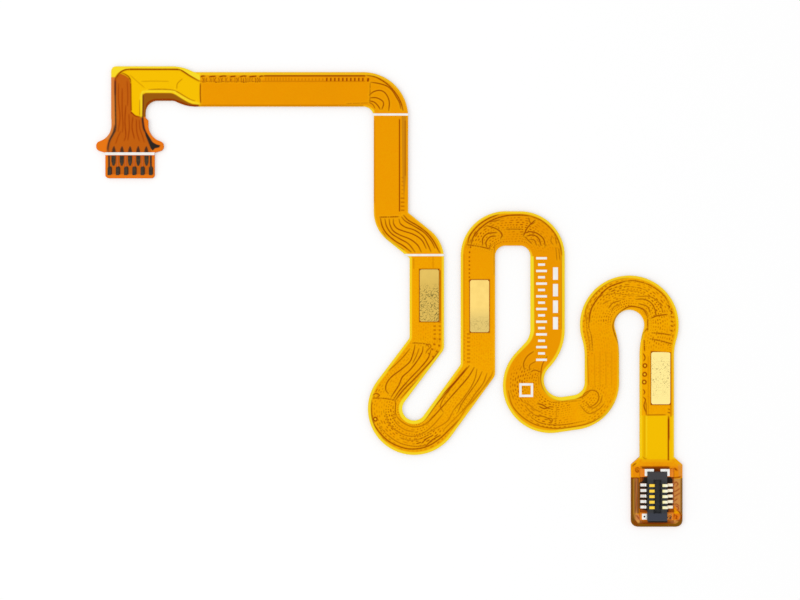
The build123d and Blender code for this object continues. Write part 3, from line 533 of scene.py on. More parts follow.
        (0.042, 0.4, 0, ((-5.15, 6.78), (-4.64, 6.37), (-4.1, 6.78), (-3.95, 7.3))),
        (0.042, 0.4, 0, ((-5.57, 6.58), (-4.93, 5.98), (-4.2, 6.29), (-3.81, 6.7))),
        (0.037, 0.4, 0.116, ((-7.54, 6.8), (-5.57, 6.91))),
        (0.037, 0.25, 0, ((-7.31, 6.6), (-7.27, 6.08), (-7.35, 5.35))),
        (0.042, 0.35, 0, ((-9.5, 6.49), (-9.14, 6.08), (-8.68, 5.77))),
        (0.042, 0.35, 0, ((-9.66, 6.8), (-9.3, 6.65), (-8.88, 6.29), (-8.36, 6.08))),
        (0.042, 0.5, 0, ((-7.95, 5.56), (-7.74, 5.64), (-7.56, 5.51), (-7.69, 5.25))),
        (0.037, 0.35, 0.116, ((-10.59, 7.53), (-10.33, 7.06))),
        (0.037, 0.3, 0, ((-8.57, 8.67), (-8.55, 8.05))),
    ),
    "loop": (
        (0.052, 0.85, 0, ((-4.88, 12.6), (-4.84, 13.21), (-4.62, 13.83), (-4.1, 14.55),
            (-3.48, 15.13), (-2.54, 15.5), (-2.25, 15.57))),
        (0.047, 0.55, 0.138, ((-2.25, 15.57), (-1.68, 15.61), (-0.78, 15.4), (-0.06, 15.03),
            (0.54, 14.52), (0.83, 14.03))),
        (0.042, 0.4, 0, ((-5.15, 12.81), (-5.13, 13.62), (-4.74, 14.34), (-3.91, 15.17),
            (-3.06, 15.65), (-2.05, 15.84))),
        (0.042, 0.5, 0.123, ((-4.89, 13.33), (-4.93, 12.29), (-4.74, 11.57), (-4.64, 10.53))),
        (0.042, 0.4, 0.123, ((-5.07, 13.12), (-5.09, 12.19), (-4.93, 11.36), (-4.86, 10.53))),
        (0.042, 0.5, 0, ((-3.5, 13.62), (-3.19, 13.99), (-2.65, 14.16))),
        (0.042, 0.4, 0, ((-3.91, 13.93), (-3.48, 14.16))),
        (0.042, 0.4, 0, ((-3.29, 13.41), (-3.06, 13.74), (-2.65, 13.89))),
        (0.042, 0.55, 0, ((-1.53, 14.26), (-0.91, 14.26), (-0.37, 13.95), (-0.08, 13.33), (-0.16, 13))),
        (0.042, 0.5, 0, ((-1.32, 13.95), (-0.7, 13.74), (-0.47, 13.31))),
        (0.042, 0.4, 0, ((-1.43, 14.47), (-0.49, 14.45), (0.15, 14.03), (0.46, 13.31))),
        (0.042, 0.4, 0, ((-1.11, 13.64), (-0.8, 13.43), (-0.64, 13.16))),
        (0.037, 0.4, 0.116, ((-3.91, 14.51), (-3.06, 14.68), (-2.03, 14.57), (-1.43, 14.62))),
        (0.037, 0.4, 0.116, ((-3.5, 14.97), (-2.54, 15.19), (-1.61, 15.14), (-0.58, 14.88))),
        (0.037, 0.3, 0.116, ((-3.08, 14.34), (-2.23, 14.26))),
        (0.037, 0.3, 0.116, ((-3.7, 14.73), (-2.67, 14.93), (-1.63, 14.86), (-0.91, 14.68))),
        (0.047, 0.65, 0, ((-0.41, 12.89), (0.02, 13.06), (0.77, 13.17))),
        (0.047, 0.7, 0.131, ((-0.34, 11.83), (0.34, 11.78), (1.12, 11.65))),
        (0.047, 0.65, 0.131, ((-0.49, 11.4), (0.23, 11.26), (1.08, 11.03))),
        (0.047, 0.7, 0.123, ((-0.66, 12.83), (-0.66, 11.96))),
        (0.047, 0.65, 0, ((-2.75, 10.33), (-2.77, 10.95), (-3.06, 11.78), (-3.17, 12.4), (-2.88, 13.1),
            (-2.25, 13.62), (-1.74, 13.74), (-1.01, 13.54), (-0.64, 12.96))),
        (0.042, 0.5, 0, ((-0.66, 12.19), (-0.99, 11.76), (-1.09, 11.34))),
        (0.037, 0.35, 0, ((-2.75, 10.95), (-2.75, 7.86))),
        (0.037, 0.3, 0, ((-5.03, 10.12), (-4.93, 8.03))),
        (0.037, 0.15, 0, ((-4.51, 10.33), (-4.49, 7.84))),
        (0.037, 0.15, 0, ((-4.12, 10.53), (-4.12, 7.84))),
        (0.037, 0.15, 0, ((-3.68, 10.53), (-3.68, 7.84))),
        (0.037, 0.15, 0, ((-3.27, 10.53), (-3.27, 7.84))),
        (0.055, 0.9, 0, ((0.77, 13.83), (0.92, 13.72), (0.85, 13.58))),
        (0.055, 0.9, 0, ((0.96, 13.45), (1.1, 13.33), (1.02, 13.18))),
        (0.055, 0.9, 0, ((1.02, 13.02), (1.14, 12.96))),
        (0.055, 0.9, 0, ((1.04, 12.69), (1.18, 12.6))),
        (0.055, 0.9, 0, ((1.02, 12.36), (1.18, 12.29))),
        (0.055, 0.9, 0, ((0.98, 12.02), (1.16, 11.94))),
    ),
    "lead": (
        (0.052, 0.8, 0.138, ((-0.91, 11.28), (-0.89, 10.53))),
        (0.047, 0.6, 0, ((-0.97, 10.33), (-0.85, 10.02), (-0.95, 9.79))),
        (0.047, 0.6, 0, ((-0.97, 7.72), (-0.87, 7.53), (-0.95, 7.37))),
        (0.047, 0.6, 0, ((-0.97, 7.17), (-0.82, 6.96), (-0.93, 6.55), (-0.8, 6.08))),
        (0.042, 0.5, 0, ((-0.78, 6.8), (-0.76, 5.89))),
        (0.042, 0.45, 0, ((-0.78, 5.87), (0.65, 5.89))),
        (0.047, 0.7, 0, ((0.83, 6.31), (0.96, 6.25))),
        (0.047, 0.7, 0, ((0.81, 6.06), (0.98, 6.02))),
        (0.063, 0.95, 0, ((0.86, 5.77), (0.87, 4.06))),
    ),
    "tail": (
        (0.068, 0.95, 0, ((-39.27, 29.12), (-39.27, 30.11), (-39.11, 30.47), (-38.86, 30.74),
            (-38.56, 30.9), (-38.19, 30.94), (-36.43, 30.94), (-34.72, 30.93), (-34.36, 30.8),
            (-33.84, 30.46), (-33.2, 30.1))),
        (0.052, 0.8, 0, ((-37.25, 29.12), (-37.25, 28.3), (-37.27, 27.47), (-37.21, 26.95),
            (-37.12, 26.53), (-36.95, 26.22))),
        (0.047, 0.7, 0, ((-38.81, 30.68), (-38.5, 30.55), (-38.24, 30.32), (-38.14, 29.9),
            (-38.1, 27.98), (-38.03, 27.77), (-37.78, 27.56), (-37.36, 27.47))),
        (0.042, 0.45, 0, ((-37.47, 28.71), (-37.48, 28.09), (-37.49, 27.57))),
        (0.042, 0.45, 0, ((-36.83, 29.46), (-36.02, 29.49), (-35.23, 29.45), (-34.78, 29.31),
            (-34.26, 29.0), (-33.82, 28.75), (-33.5, 28.65))),
        (0.05, 0.55, 0, ((-37.0, 27.9), (-36.95, 28.4), (-36.55, 28.69), (-36.08, 28.75),
            (-35.17, 28.75), (-34.85, 28.67), (-34.24, 28.45), (-33.95, 28.33), (-33.3, 28.32))),
        (0.057, 0.9, 0, ((-33.69, 28.3), (-33.43, 28.31), (-33.14, 28.32))),
        (0.042, 0.2, 0, ((-38.19, 30.52), (-37.68, 30.06), (-37.16, 29.62))),
        (0.042, 0.3, 0, ((-34.8, 29.54), (-34.75, 29.9), (-34.41, 30.24))),
        (0.042, 0.2, 0, ((-37.36, 30.06), (-36.43, 30.08), (-35.4, 30.06))),
        (0.047, 0.75, 0, ((-33.09, 29.9), (-33.1, 29.12), (-33.07, 28.5))),
        (0.047, 0.8, 0, ((-33.48, 30.6), (-33.3, 30.46), (-33.17, 30.39))),
        (0.047, 0.35, 0, ((-38.76, 29.54), (-38.76, 27.98), (-38.7, 26.95), (-38.74, 26.38))),
        (0.047, 0.35, 0, ((-39.02, 29.9), (-39.03, 28.71), (-38.92, 27.47), (-39.05, 26.43))),
        (0.047, 0.4, 0, ((-38.5, 28.3), (-38.56, 27.16), (-38.5, 26.17), (-38.61, 25.76))),
        (0.047, 0.35, 0, ((-38.27, 27.67), (-38.24, 26.69), (-38.35, 25.81))),
        (0.047, 0.4, 0, ((-37.99, 27.47), (-38.04, 26.69), (-37.88, 25.91))),
        (0.047, 0.35, 0, ((-37.73, 27.31), (-37.7, 26.43), (-37.52, 25.76))),
        (0.047, 0.35, 0, ((-37.52, 27.26), (-37.47, 26.64), (-37.26, 26.02), (-37.16, 25.65))),
        (0.047, 0.3, 0, ((-38.87, 26.43), (-39.07, 26.02), (-39.23, 25.55))),
        (0.047, 0.3, 0, ((-38.4, 30.06), (-38.35, 29.12), (-38.37, 28.3))),
        (0.047, 0.8, 0, ((-37, 27.47), (-36.95, 27.39), (-36.91, 27.31))),
    ),
    "head": (
        (0.052, 0.7, 0, ((-1.15, 2.11), (-0.2, 2.1), (0.92, 2.11))),
        (0.047, 0.85, 0, ((-1.83, 1.3), (-1.54, 1.32), (-1.29, 1.3), (-1.15, 1.34), (-1.04, 1.45))),
        (0.047, 0.85, 0, ((0.96, 1.34), (1.14, 1.31), (1.5, 1.34), (1.75, 1.4))),
        (0.047, 0.6, 0, ((-1.76, 2.17), (-1.65, 2.27), (-1.51, 2.36))),
        (0.047, 0.65, 0, ((-1.49, 1.96), (-1.53, 1.85), (-1.45, 1.74), (-1.34, 1.76), (-1.36, 1.87),
            (-1.45, 1.88))),
        (0.047, 0.5, 0, ((-1.56, 1.99), (-1.36, 2.05), (-1.31, 1.96))),
        (0.063, 1, 0, ((1.28, 2.01), (1.37, 1.94), (1.46, 1.87))),
        (0.042, 0.4, 0, ((-1, 2.83), (-0.89, 2.72), (-0.75, 2.7))),
        (0.047, 0.55, 0, ((-1.47, -1.41), (-1.38, -1.52), (-1.27, -1.67))),
        (0.042, 0.5, 0, ((-1.69, -1.85), (-1.54, -2.03), (-1.33, -2.1))),
        (0.042, 0.5, 0, ((-1.58, -1.78), (-1.4, -1.96))),
        (0.047, 0.7, 0, ((0.92, -1.36), (0.96, -1.49), (0.92, -1.63))),
        (0.047, 0.6, 0, ((1.1, -1.38), (1.25, -1.36), (1.21, -1.52), (1.08, -1.56), (1.17, -1.67))),
        (0.047, 0.6, 0, ((1.34, -1.4), (1.46, -1.49), (1.39, -1.61), (1.5, -1.67))),
        (0.047, 0.6, 0, ((1.52, -1.05), (1.68, -1.23), (1.77, -1.49), (1.65, -1.74), (1.39, -1.81))),
        (0.042, 0.55, 0, ((1.14, 0.69), (1.25, 0.87), (1.39, 1.01), (1.54, 0.87), (1.39, 0.69))),
        (0.042, 0.55, 0, ((1.17, 0.29), (1.39, 0.36), (1.65, 0.54))),
        (0.042, 0.5, 0, ((1.17, -0.07), (1.39, 0.04), (1.68, 0.22))),
        (0.042, 0.5, 0, ((1.14, -0.43), (1.32, -0.33), (1.5, -0.18))),
        (0.042, 0.6, 0, ((1.39, -0.72), (1.54, -0.8), (1.57, -0.94), (1.46, -1.01))),
        (0.042, 0.5, 0, ((1.25, -0.62), (1.43, -0.58), (1.61, -0.72))),
        (0.042, 0.45, 0, ((-1.49, 1.23), (-1.51, 0.51), (-1.47, -0.22), (-1.51, -1.12))),
        (0.047, 0.5, 0, ((-1.07, -1.98), (0.3, -2), (1.39, -1.92))),
    ),
}


# Shape of the film


def route_parts():
    """The route as rows of run length, turn, radius, inside radius and outside radius."""
    rows = []
    for part in ROUTE:
        if isinstance(part[0], str):
            rows.append((part[1], 0.0, 0.0, None, None))
        else:
            rows.append((0.0, part[0], part[1], *(part[2:] if len(part) > 2 else (None, None))))
    return rows


def mark_distances():
    """Distance along the centre line at which each named run starts."""
    found = {}
    distance = 0.0
    for part, row in zip(ROUTE, route_parts()):
        if isinstance(part[0], str):
            found[part[0]] = distance
        distance += row[0] + abs(math.radians(row[1])) * row[2]
    found["tail"] = distance
    return found


MARKS = mark_distances()

# Distance along the cable from which the plug-in end's contacts are bare
BARE_FROM = MARKS["tail"] + TAIL_TOP - BARE_TOP


def edge_parts(offset):
    """Length, radius and straight lead of each part of the edge at an offset to the route's left.

    A bend's edge has the route's radius less the offset towards its inside. Where it has a radius of
    its own, the difference times the tangent of half the turn is a straight lead before and after its
    arc, or is taken off the runs beside it.
    """
    rows = route_parts()
    lengths = [row[0] for row in rows]
    radii = [0.0] * len(rows)
    leads = [0.0] * len(rows)
    for index, (_, turn, radius, inside, outside) in enumerate(rows):
        if turn:
            inward = offset if turn > 0 else -offset
            own = inside if inward > 0 else outside
            radii[index] = radius - inward if own is None else own
            extra = (radius - inward - radii[index]) * math.tan(math.radians(abs(turn)) / 2)
            leads[index] = max(extra, 0.0)
            lengths[index - 1] += min(extra, 0.0)
            lengths[index + 1] += min(extra, 0.0)
    for index, row in enumerate(rows):
        if row[1]:
            lengths[index] = abs(math.radians(row[1])) * radii[index] + 2 * leads[index]
    return rows, lengths, radii, leads


def edge_points(offset, counts):
    """Points of that edge: straight runs, and arcs swept about each bend's centre, in equal shares."""
    rows, lengths, radii, leads = edge_parts(offset)
    x, y, heading = ROUTE_START
    heading = math.radians(heading)
    x -= offset * math.sin(heading)
    y += offset * math.cos(heading)
    found = []
    for row, length, radius, lead, count in zip(rows, lengths, radii, leads, counts):
        distance = length * np.arange(count + 1) / count
        if row[1]:
            side = math.copysign(1.0, row[1])
            before = np.minimum(distance, lead)
            after = np.maximum(distance - length + lead, 0.0)
            angles = heading + side * (distance - before - after) / radius
            xs = x + before * math.cos(heading) + side * radius * (np.sin(angles) - math.sin(heading))
            ys = y + before * math.sin(heading) + side * radius * (math.cos(heading) - np.cos(angles))
            xs += after * np.cos(angles)
            ys += after * np.sin(angles)
            heading = angles[-1]
        else:
            xs = x + distance * math.cos(heading)
            ys = y + distance * math.sin(heading)
        x, y = xs[-1], ys[-1]
        found.append(np.stack([xs[:-1], ys[:-1]], 1))
    found.append(np.array([[x, y]]))
    return np.concatenate(found)


def rounded_side(corners):
    """Points along straight sides whose corners are cut by arcs that touch both sides."""
    found = [np.array([corners[0][:2]])]
    for before, corner, after in zip(corners, corners[1:], corners[2:]):
        here = np.array(corner[:2])
        back = np.array(before[:2]) - here
        ahead = np.array(after[:2]) - here
        back /= np.linalg.norm(back)
        ahead /= np.linalg.norm(ahead)
        half = math.acos(np.clip(back @ ahead, -1.0, 1.0)) / 2
        middle = (back + ahead) / np.linalg.norm(back + ahead)
        centre = here + middle * corner[2] / math.sin(half)
        start = here + back * corner[2] / math.tan(half) - centre
        end = here + ahead * corner[2] / math.tan(half) - centre
        share = np.linspace(0.0, 1.0, ARC_POINTS)[:, None]
        chord = start * (1 - share) + end * share
        size = np.linalg.norm(chord, axis=1, keepdims=True)
        found.append(centre + chord * corner[2] / np.maximum(size, 1e-9))
    found.append(np.array([corners[-1][:2]]))
    return np.concatenate(found)


def half_width(side, y):
    """Half width of an end at each height, read off its rounded side without its level bottom."""
    points = rounded_side(side)
    level_until = 0.9
    points = points[points[:, 0] > level_until]
    order = np.argsort(points[:, 1], kind="stable")
    return np.interp(y, points[order, 1], points[order, 0])


def route_rungs(step):
    """Ends of the rungs along the route, at equal shares of each run and bend, and their distances."""
    counts = []
    along = []
    distance = 0.0
    right_lengths = edge_parts(-HALF_FILM)[1]
    rows, left_lengths = edge_parts(HALF_FILM)[:2]
    for row, one, two in zip(rows, right_lengths, left_lengths):
        length = row[0] + abs(math.radians(row[1])) * row[2]
        count = max(1, math.ceil(max(one, two, row[0]) / step))
        counts.append(count)
        along.append(distance + length * np.arange(count) / count)
        distance += length
    along.append(np.array([distance]))
    return edge_points(-HALF_FILM, counts), edge_points(HALF_FILM, counts), np.concatenate(along)


def level_rungs(middle, upper_side, lower_side, y):
    """Level rungs of an end of the film: their ends at the larger x, and at the smaller."""
    upper = np.stack([middle + half_width(upper_side, y), y], 1)
    lower = np.stack([middle - half_width(lower_side, y), y], 1)
    return upper, lower


def even_heights(first, last, step):
    """Heights from the first to the last, at most a step apart."""
    return np.linspace(first, last, math.ceil(abs(last - first) / step) + 1)


def film_rungs(step):
    """Right and left ends of every rung across the film, and its distance along the cable.

    The head and the tail are ladders of level rungs between their own sides. The tail runs down, so
    its right side has the smaller x.
    """
    right, left, along = route_rungs(step)
    head_low, head_high = HEAD_SIDE[0][1], HEAD_SIDE[-1][1]
    y = even_heights(head_low, head_high, step)[:-1]
    head_right, head_left = level_rungs(0.0, HEAD_SIDE, HEAD_SIDE, y)
    head_along = y - head_high
    y = even_heights(TAIL_TOP, TAIL_END, step)[1:]
    tail_left, tail_right = level_rungs(TAIL_MIDDLE, TAIL_RIGHT, TAIL_LEFT, y)
    tail_along = along[-1] + TAIL_TOP - y
    return (
        np.concatenate([head_right, right, tail_right]),
        np.concatenate([head_left, left, tail_left]),
        np.concatenate([head_along, along, tail_along]),
    )


def cover_windows():
    """Openings of the top cover, as start and end along the cable, and low and high across it."""
    found = []
    for name, start, end, low, high in WINDOWS:
        found.append((MARKS[name] + start, MARKS[name] + end, low, high))
    middle = -HEAD_SIDE[-1][1]
    found.append((middle - OPENING[1], middle + OPENING[1], -OPENING[0], OPENING[0]))
    return found


def rows_on_edges(along, windows):
    """Distances of the rows, with the nearest two closed up on each edge that runs across the film."""
    moved = along.copy()
    for edge in [edge for window in windows for edge in window[:2]] + [BARE_FROM]:
        index = int(np.searchsorted(along, edge)) - 1
        moved[index] = edge - HAIR
        moved[index + 1] = edge + HAIR
    return moved


def columns_on_edges(along, width, columns, windows):
    """Shares across each row, with two columns closed up on each side of a window, and what is sunk.

    The columns turn towards a window over a short stretch before it, and back again after it.
    """
    turn_from, turn_until = 0.6, 0.1
    even = np.linspace(0.0, 1.0, columns)
    share = np.tile(even, (len(along), 1))
    sunk = np.zeros(share.shape, bool)
    for start, end, low, high in windows:
        wide = width[int(np.searchsorted(along, (start + end) / 2))]
        sides = [0.5 + low / wide, 0.5 + high / wide]
        indices = [int(np.searchsorted(even, side)) - 1 for side in sides]
        places = [0.0]
        targets = [0.0]
        for side, index in zip(sides, indices):
            places += [even[index], even[index + 1]]
            targets += [side - HAIR / wide, side + HAIR / wide]
        warped = np.interp(even, places + [1.0], targets + [1.0])
        near = smooth_step(start - turn_from, start - turn_until, along)
        near *= smooth_step(end + turn_from, end + turn_until, along)
        share += near[:, None] * (warped - even)
        rows = (along > start) & (along < end)
        sunk[np.ix_(rows, np.arange(indices[0] + 1, indices[1] + 1))] = True
    return share, sunk


def film_grid(step, columns):
    """The film's top as a grid of points, with rows and columns moved onto the windows' edges.

    Each point is its rung's right end plus a share of the rung. Beside a window the nearest two rows
    and columns close up on its edge, so that the step down there stands upright.
    """
    right, left, along = film_rungs(step)
    windows = cover_windows()
    moved = rows_on_edges(along, windows)
    ends = [np.interp(moved, along, points[:, axis]) for points in (right, left) for axis in (0, 1)]
    right = np.stack(ends[:2], 1)
    left = np.stack(ends[2:], 1)
    width = np.linalg.norm(left - right, axis=1)
    share, sunk = columns_on_edges(moved, width, columns, windows)
    points = right[:, None, :] * (1 - share[..., None]) + left[:, None, :] * share[..., None]
    to_right = share * width[:, None]
    to_left = (1 - share) * width[:, None]
    return points[..., 0], points[..., 1], moved, to_right, to_left, sunk, windows


# Marks of the copper in the film


def through(points, spacing=0.04):
    """A smooth line through a few points: each stretch is the cubic whose ends lean like its neighbours."""
    points = np.array(points, float)
    if len(points) == 2:
        count = max(2, int(np.linalg.norm(points[1] - points[0]) / spacing))
        share = np.linspace(0.0, 1.0, count)[:, None]
        return points[0] * (1 - share) + points[1] * share
    padded = np.concatenate([[2 * points[0] - points[1]], points, [2 * points[-1] - points[-2]]])
    found = []
    for a, b, c, d in zip(padded, padded[1:], padded[2:], padded[3:]):
        t = np.linspace(0.0, 1.0, max(3, int(np.linalg.norm(c - b) / spacing)))[:, None]
        square = 2 * a - 5 * b + 4 * c - d
        cube = 3 * b - a - 3 * c + d
        found.append(0.5 * (2 * b + (c - a) * t + square * t**2 + cube * t**3))
    return np.concatenate(found)


def draw(mask, x, y, points, width, strength, halo=None):
    """Fill a mask along a line: a bell curve of the distance to it, fading at both of its ends.

    A halo mask gets a wider and weaker bell curve, for the lit shoulders of the embossing.
    """
    halo_width, halo_share = 2.3 * width, 0.6
    end_share, fading = 0.55, 0.125
    reach = 4 * width
    line = np.asarray(points)
    low = line.min(0) - reach
    high = line.max(0) + reach
    near = (x > low[0]) & (x < high[0]) & (y > low[1]) & (y < high[1])
    rows, columns = np.nonzero(near)
    if not len(rows):
        return
    places = np.stack([x[near], y[near]], 1)
    apart = ((places[:, None, :] - line[None, :, :]) ** 2).sum(2)
    nearest = apart.argmin(1)
    distance = apart[np.arange(len(places)), nearest]
    share = nearest / (len(line) - 1)
    fade = end_share + (1 - end_share) * np.sqrt(clamp(np.minimum(share, 1 - share) / fading))
    value = strength * fade * np.exp(-distance / width**2)
    mask[rows, columns] = np.maximum(mask[rows, columns], value)
    if halo is not None:
        value = halo_share * strength * np.exp(-distance / halo_width**2)
        halo[rows, columns] = np.maximum(halo[rows, columns], value)


def stretch(values, low, high, soft):
    """1 between low and high, 0 outside them, with a smooth step of twice soft at each end."""
    rise = smooth_step(low - soft, low + soft, values)
    return rise * (1 - smooth_step(high - soft, high + soft, values))


def rail(mask, along, across, name, start, end, offset, width, strength):
    """Fill a mask along a straight conductor beside a run: a bell curve of the distance across."""
    rows = stretch(along, MARKS[name] + start, MARKS[name] + end, 0.03)
    value = strength * rows[:, None] * np.exp(-(((across - offset) / width) ** 2))
    np.maximum(mask, value, out=mask)


def ladder(mask, along, across, name, start, pitch, count, low, high, strength):
    """Fill a mask along a row of short marks across a run: a bell curve of the distance to each."""
    thickness = 0.05
    between = strength * stretch(across, low, high, 0.04)
    for index in range(count):
        place = MARKS[name] + start + index * pitch
        rung = np.exp(-(((along - place) / thickness) ** 2))
        np.maximum(mask, rung[:, None] * between, out=mask)


def dashed(points, pitch):
    """The points of a smooth line that fall in the drawn share of each pitch along it."""
    drawn = 0.55
    line = through(points)
    if not pitch:
        return line
    steps = np.linalg.norm(np.diff(line, axis=0), axis=1)
    distance = np.concatenate([[0.0], np.cumsum(steps)])
    return line[(distance / pitch) % 1.0 < drawn]


def inside(x, y, corners, soft=0.03):
    """1 inside a polygon and 0 outside, with a smooth step of the distance to its sides between."""
    corners = np.array(corners, float)
    within = np.zeros(x.shape, bool)
    nearest = np.full(x.shape, 1e9)
    for (x1, y1), (x2, y2) in zip(corners, np.roll(corners, -1, axis=0)):
        crosses = (y1 > y) != (y2 > y)
        rise = y2 - y1 if abs(y2 - y1) > 1e-9 else 1e-9
        within ^= crosses & (x < (x2 - x1) * (y - y1) / rise + x1)
        length = (x2 - x1) ** 2 + (y2 - y1) ** 2
        share = clamp(((x - x1) * (x2 - x1) + (y - y1) * (y2 - y1)) / length)
        apart = np.hypot(x - x1 - share * (x2 - x1), y - y1 - share * (y2 - y1))
        nearest = np.minimum(nearest, apart)
    return smooth_step(-soft, soft, np.where(within, nearest, -nearest))


def rim_mask(along, to_right, to_left):
    """The bright edge of the covers past the copper: its strength at the edge, and 0 past its width."""
    at = np.array([MARKS[name] + distance for name, distance, *_ in RIMS])
    found = np.zeros(to_right.shape)
    for column, gap in ((2, to_left), (4, to_right)):
        width = np.interp(along, at, [row[column] for row in RIMS])[:, None]
        strength = np.interp(along, at, [row[column + 1] for row in RIMS])[:, None]
        found = np.maximum(found, strength * (1 - smooth_step(width - 0.06, width + 0.05, gap)))
    return found


def fine_tracks(along, across):
    """Fine broken tracks that follow the bends, and the lit film between them.

    The tracks are even lines across, each cut along it by its own waves.
    """
    place = along[:, None]
    swayed = across + 0.018 * np.sin(place * 2.1) + 0.012 * np.sin(place * 7.3 + across * 5.0)
    line = np.floor(swayed / TRACK_PITCH)
    beside = swayed / TRACK_PITCH - line - 0.5
    pace = 21.0 + 6.0 * np.sin(line * 5.1)
    wave = np.sin(place * pace + line * 2.3 + 2.2 * np.sin(place * 3.7 + line * 1.9))
    patch = 0.6 + 0.4 * np.sin(place * 1.3 + across * 2.6) * np.sin(place * 0.7 - across * 1.7)
    found = 1.15 * np.exp(-((beside / 0.23) ** 2)) * smooth_step(-0.4, 0.6, wave) * patch
    between = 0.45 * smooth_step(0.28, 0.48, np.abs(beside)) * patch
    amount = np.zeros(len(along))
    for name, start, end, strength in TRACKS:
        amount = np.maximum(amount, strength * stretch(along, MARKS[name] + start, MARKS[name] + end, 0.5))
    amount = amount[:, None] * (1 - smooth_step(0.95, 1.1, np.abs(across)))
    return found * amount, between * amount


def edge_curls(mask, halo, x, y):
    """Small curls of copper under the long arm's upper edge, each a short stroke with a leaning foot."""
    random = np.random.default_rng(7)
    first, pitch, count, high, low = CURLS
    stroke_width, cap_width, cap_strength = 0.036, 0.055, 1.2
    for index in range(count):
        place = first + index * pitch + random.uniform(-0.03, 0.03)
        lean = random.uniform(-0.09, 0.09)
        foot = random.uniform(-0.02, 0.14)
        top = high - random.uniform(0.0, 0.08)
        bottom = low + random.uniform(-0.02, 0.06)
        middle = (top + bottom) / 2
        stroke = [(place, top), (place + lean, middle), (place + lean / 2, bottom), (place + foot, bottom)]
        draw(mask, x, y, through(stroke, 0.02), stroke_width, random.uniform(0.5, 1.0), halo)
    for index, (start, end) in enumerate(CAPS):
        sag = 0.03 * (index % 2)
        cap = [(start, high + 0.03), ((start + end) / 2, high + 0.09 - sag), (end, high + 0.08)]
        draw(mask, x, y, through(cap), cap_width, cap_strength, halo)


def small_rings(x, y):
    """Dark rings in the film, and the pale dots in their middles."""
    radius, thickness = 0.13, 0.05
    dot_from, dot_until = 0.04, 0.09
    ring = np.zeros(x.shape)
    dot = np.zeros(x.shape)
    for middle_x, middle_y in RINGS:
        away = np.hypot(x - middle_x, y - middle_y)
        ring = np.maximum(ring, np.exp(-(((away - radius) / thickness) ** 2)))
        dot = np.maximum(dot, 1 - smooth_step(dot_from, dot_until, away))
    return ring, dot


def window_lines(mask, along, across, windows):
    """A line round each window: a bell curve of the distance outside its rectangle."""
    strength, thickness = 0.5, 0.05
    for start, end, low, high in windows:
        apart = np.hypot(
            np.maximum(np.maximum(start - along, along - end), 0.0)[:, None],
            np.maximum(np.maximum(low - across, across - high), 0.0),
        )
        np.maximum(mask, strength * np.exp(-((apart / thickness) ** 2)), out=mask)


def tone_masks(x, y):
    """A mask for each tone of the zones, with the dark lines drawn into the dark one."""
    found = {}
    for name, polygons in ZONES.items():
        found[name] = np.zeros(x.shape)
        for strength, corners in polygons:
            found[name] = np.maximum(found[name], strength * inside(x, y, corners))
    for width, strength, points in DARK_LINES:
        draw(found["dark"], x, y, through(points), width, strength)
    return found


def film_masks(grid):
    """Masks of what shows in the film: conductors, edges, and the zones of each tone."""
    x, y, along, to_right, to_left, sunk, windows = grid
    across = (to_right - to_left) / 2
    trace, halo = fine_tracks(along, across)
    for rows in LINES.values():
        for width, strength, dash, points in rows:
            line = dashed(points, dash)
            draw(trace, x, y, line, LINE_WIDER * width, min(1.0, LINE_DARKER * strength), halo)
    edge_curls(trace, halo, x, y)
    trace = clamp(trace)
    window_lines(trace, along, across, windows)
    for row in RAILS:
        rail(trace, along, across, *row)
    for row in LADDERS:
        ladder(trace, along, across, *row)
    ring, pale_dot = small_rings(x, y)
    dot_share = 0.45
    rim = np.maximum(rim_mask(along, to_right, to_left), dot_share * pale_dot)
    ends = (along < HEAD_PLAIN) | (along > MARKS["long_arm"] + TAIL_PLAIN)
    rim[ends] = 0.0
    halo[ends] = 0.0
    for strength, corners in RIM_ZONES:
        rim = np.maximum(rim, strength * inside(x, y, corners))
    for width, strength, points in BRIGHT_LINES:
        draw(rim, x, y, through(points), width, strength)
    masks = {"trace": np.maximum(trace * (1 - pale_dot), ring), "rim": rim, "halo": halo}
    at = [MARKS[name] + distance for name, distance, _ in TONES]
    light = np.interp(along, at, [row[2] for row in TONES])
    masks["light"] = np.repeat(light[:, None], x.shape[1], 1)
    masks.update(tone_masks(x, y))
    masks["bare"] = sunk.astype(float)
    masks["under"] = np.zeros(x.shape)
    return masks


def film_heights(along, sunk, trace, relief):
    """Heights of the film's top: the cover's, less the embossing times the conductor mask.

    They drop to the base film or the copper where the cover is open, and a little at both edges.
    """
    z = Z_TOP - relief * trace
    floor = np.where(along < 0, Z_BASE, Z_COPPER)[:, None]
    z = np.where(sunk, floor, z)
    z = np.where((along > BARE_FROM)[:, None], Z_BASE, z)
    z[:, 0] -= EDGE_DROP
    z[:, -1] -= EDGE_DROP
    return z


def tube_faces(count, around):
    """Corners and sizes of the faces of a closed tube: quads round it, and one face at each end."""
    index = np.arange(count * around).reshape(count, around)
    turned = np.roll(index, -1, axis=1)
    quads = np.stack([index[:-1], turned[:-1], turned[1:], index[1:]], -1).reshape(-1, 4)
    corners = np.concatenate([quads.ravel(), index[0][::-1], index[-1]])
    sizes = np.concatenate([np.full(len(quads), 4), [around, around]])
    return corners, sizes


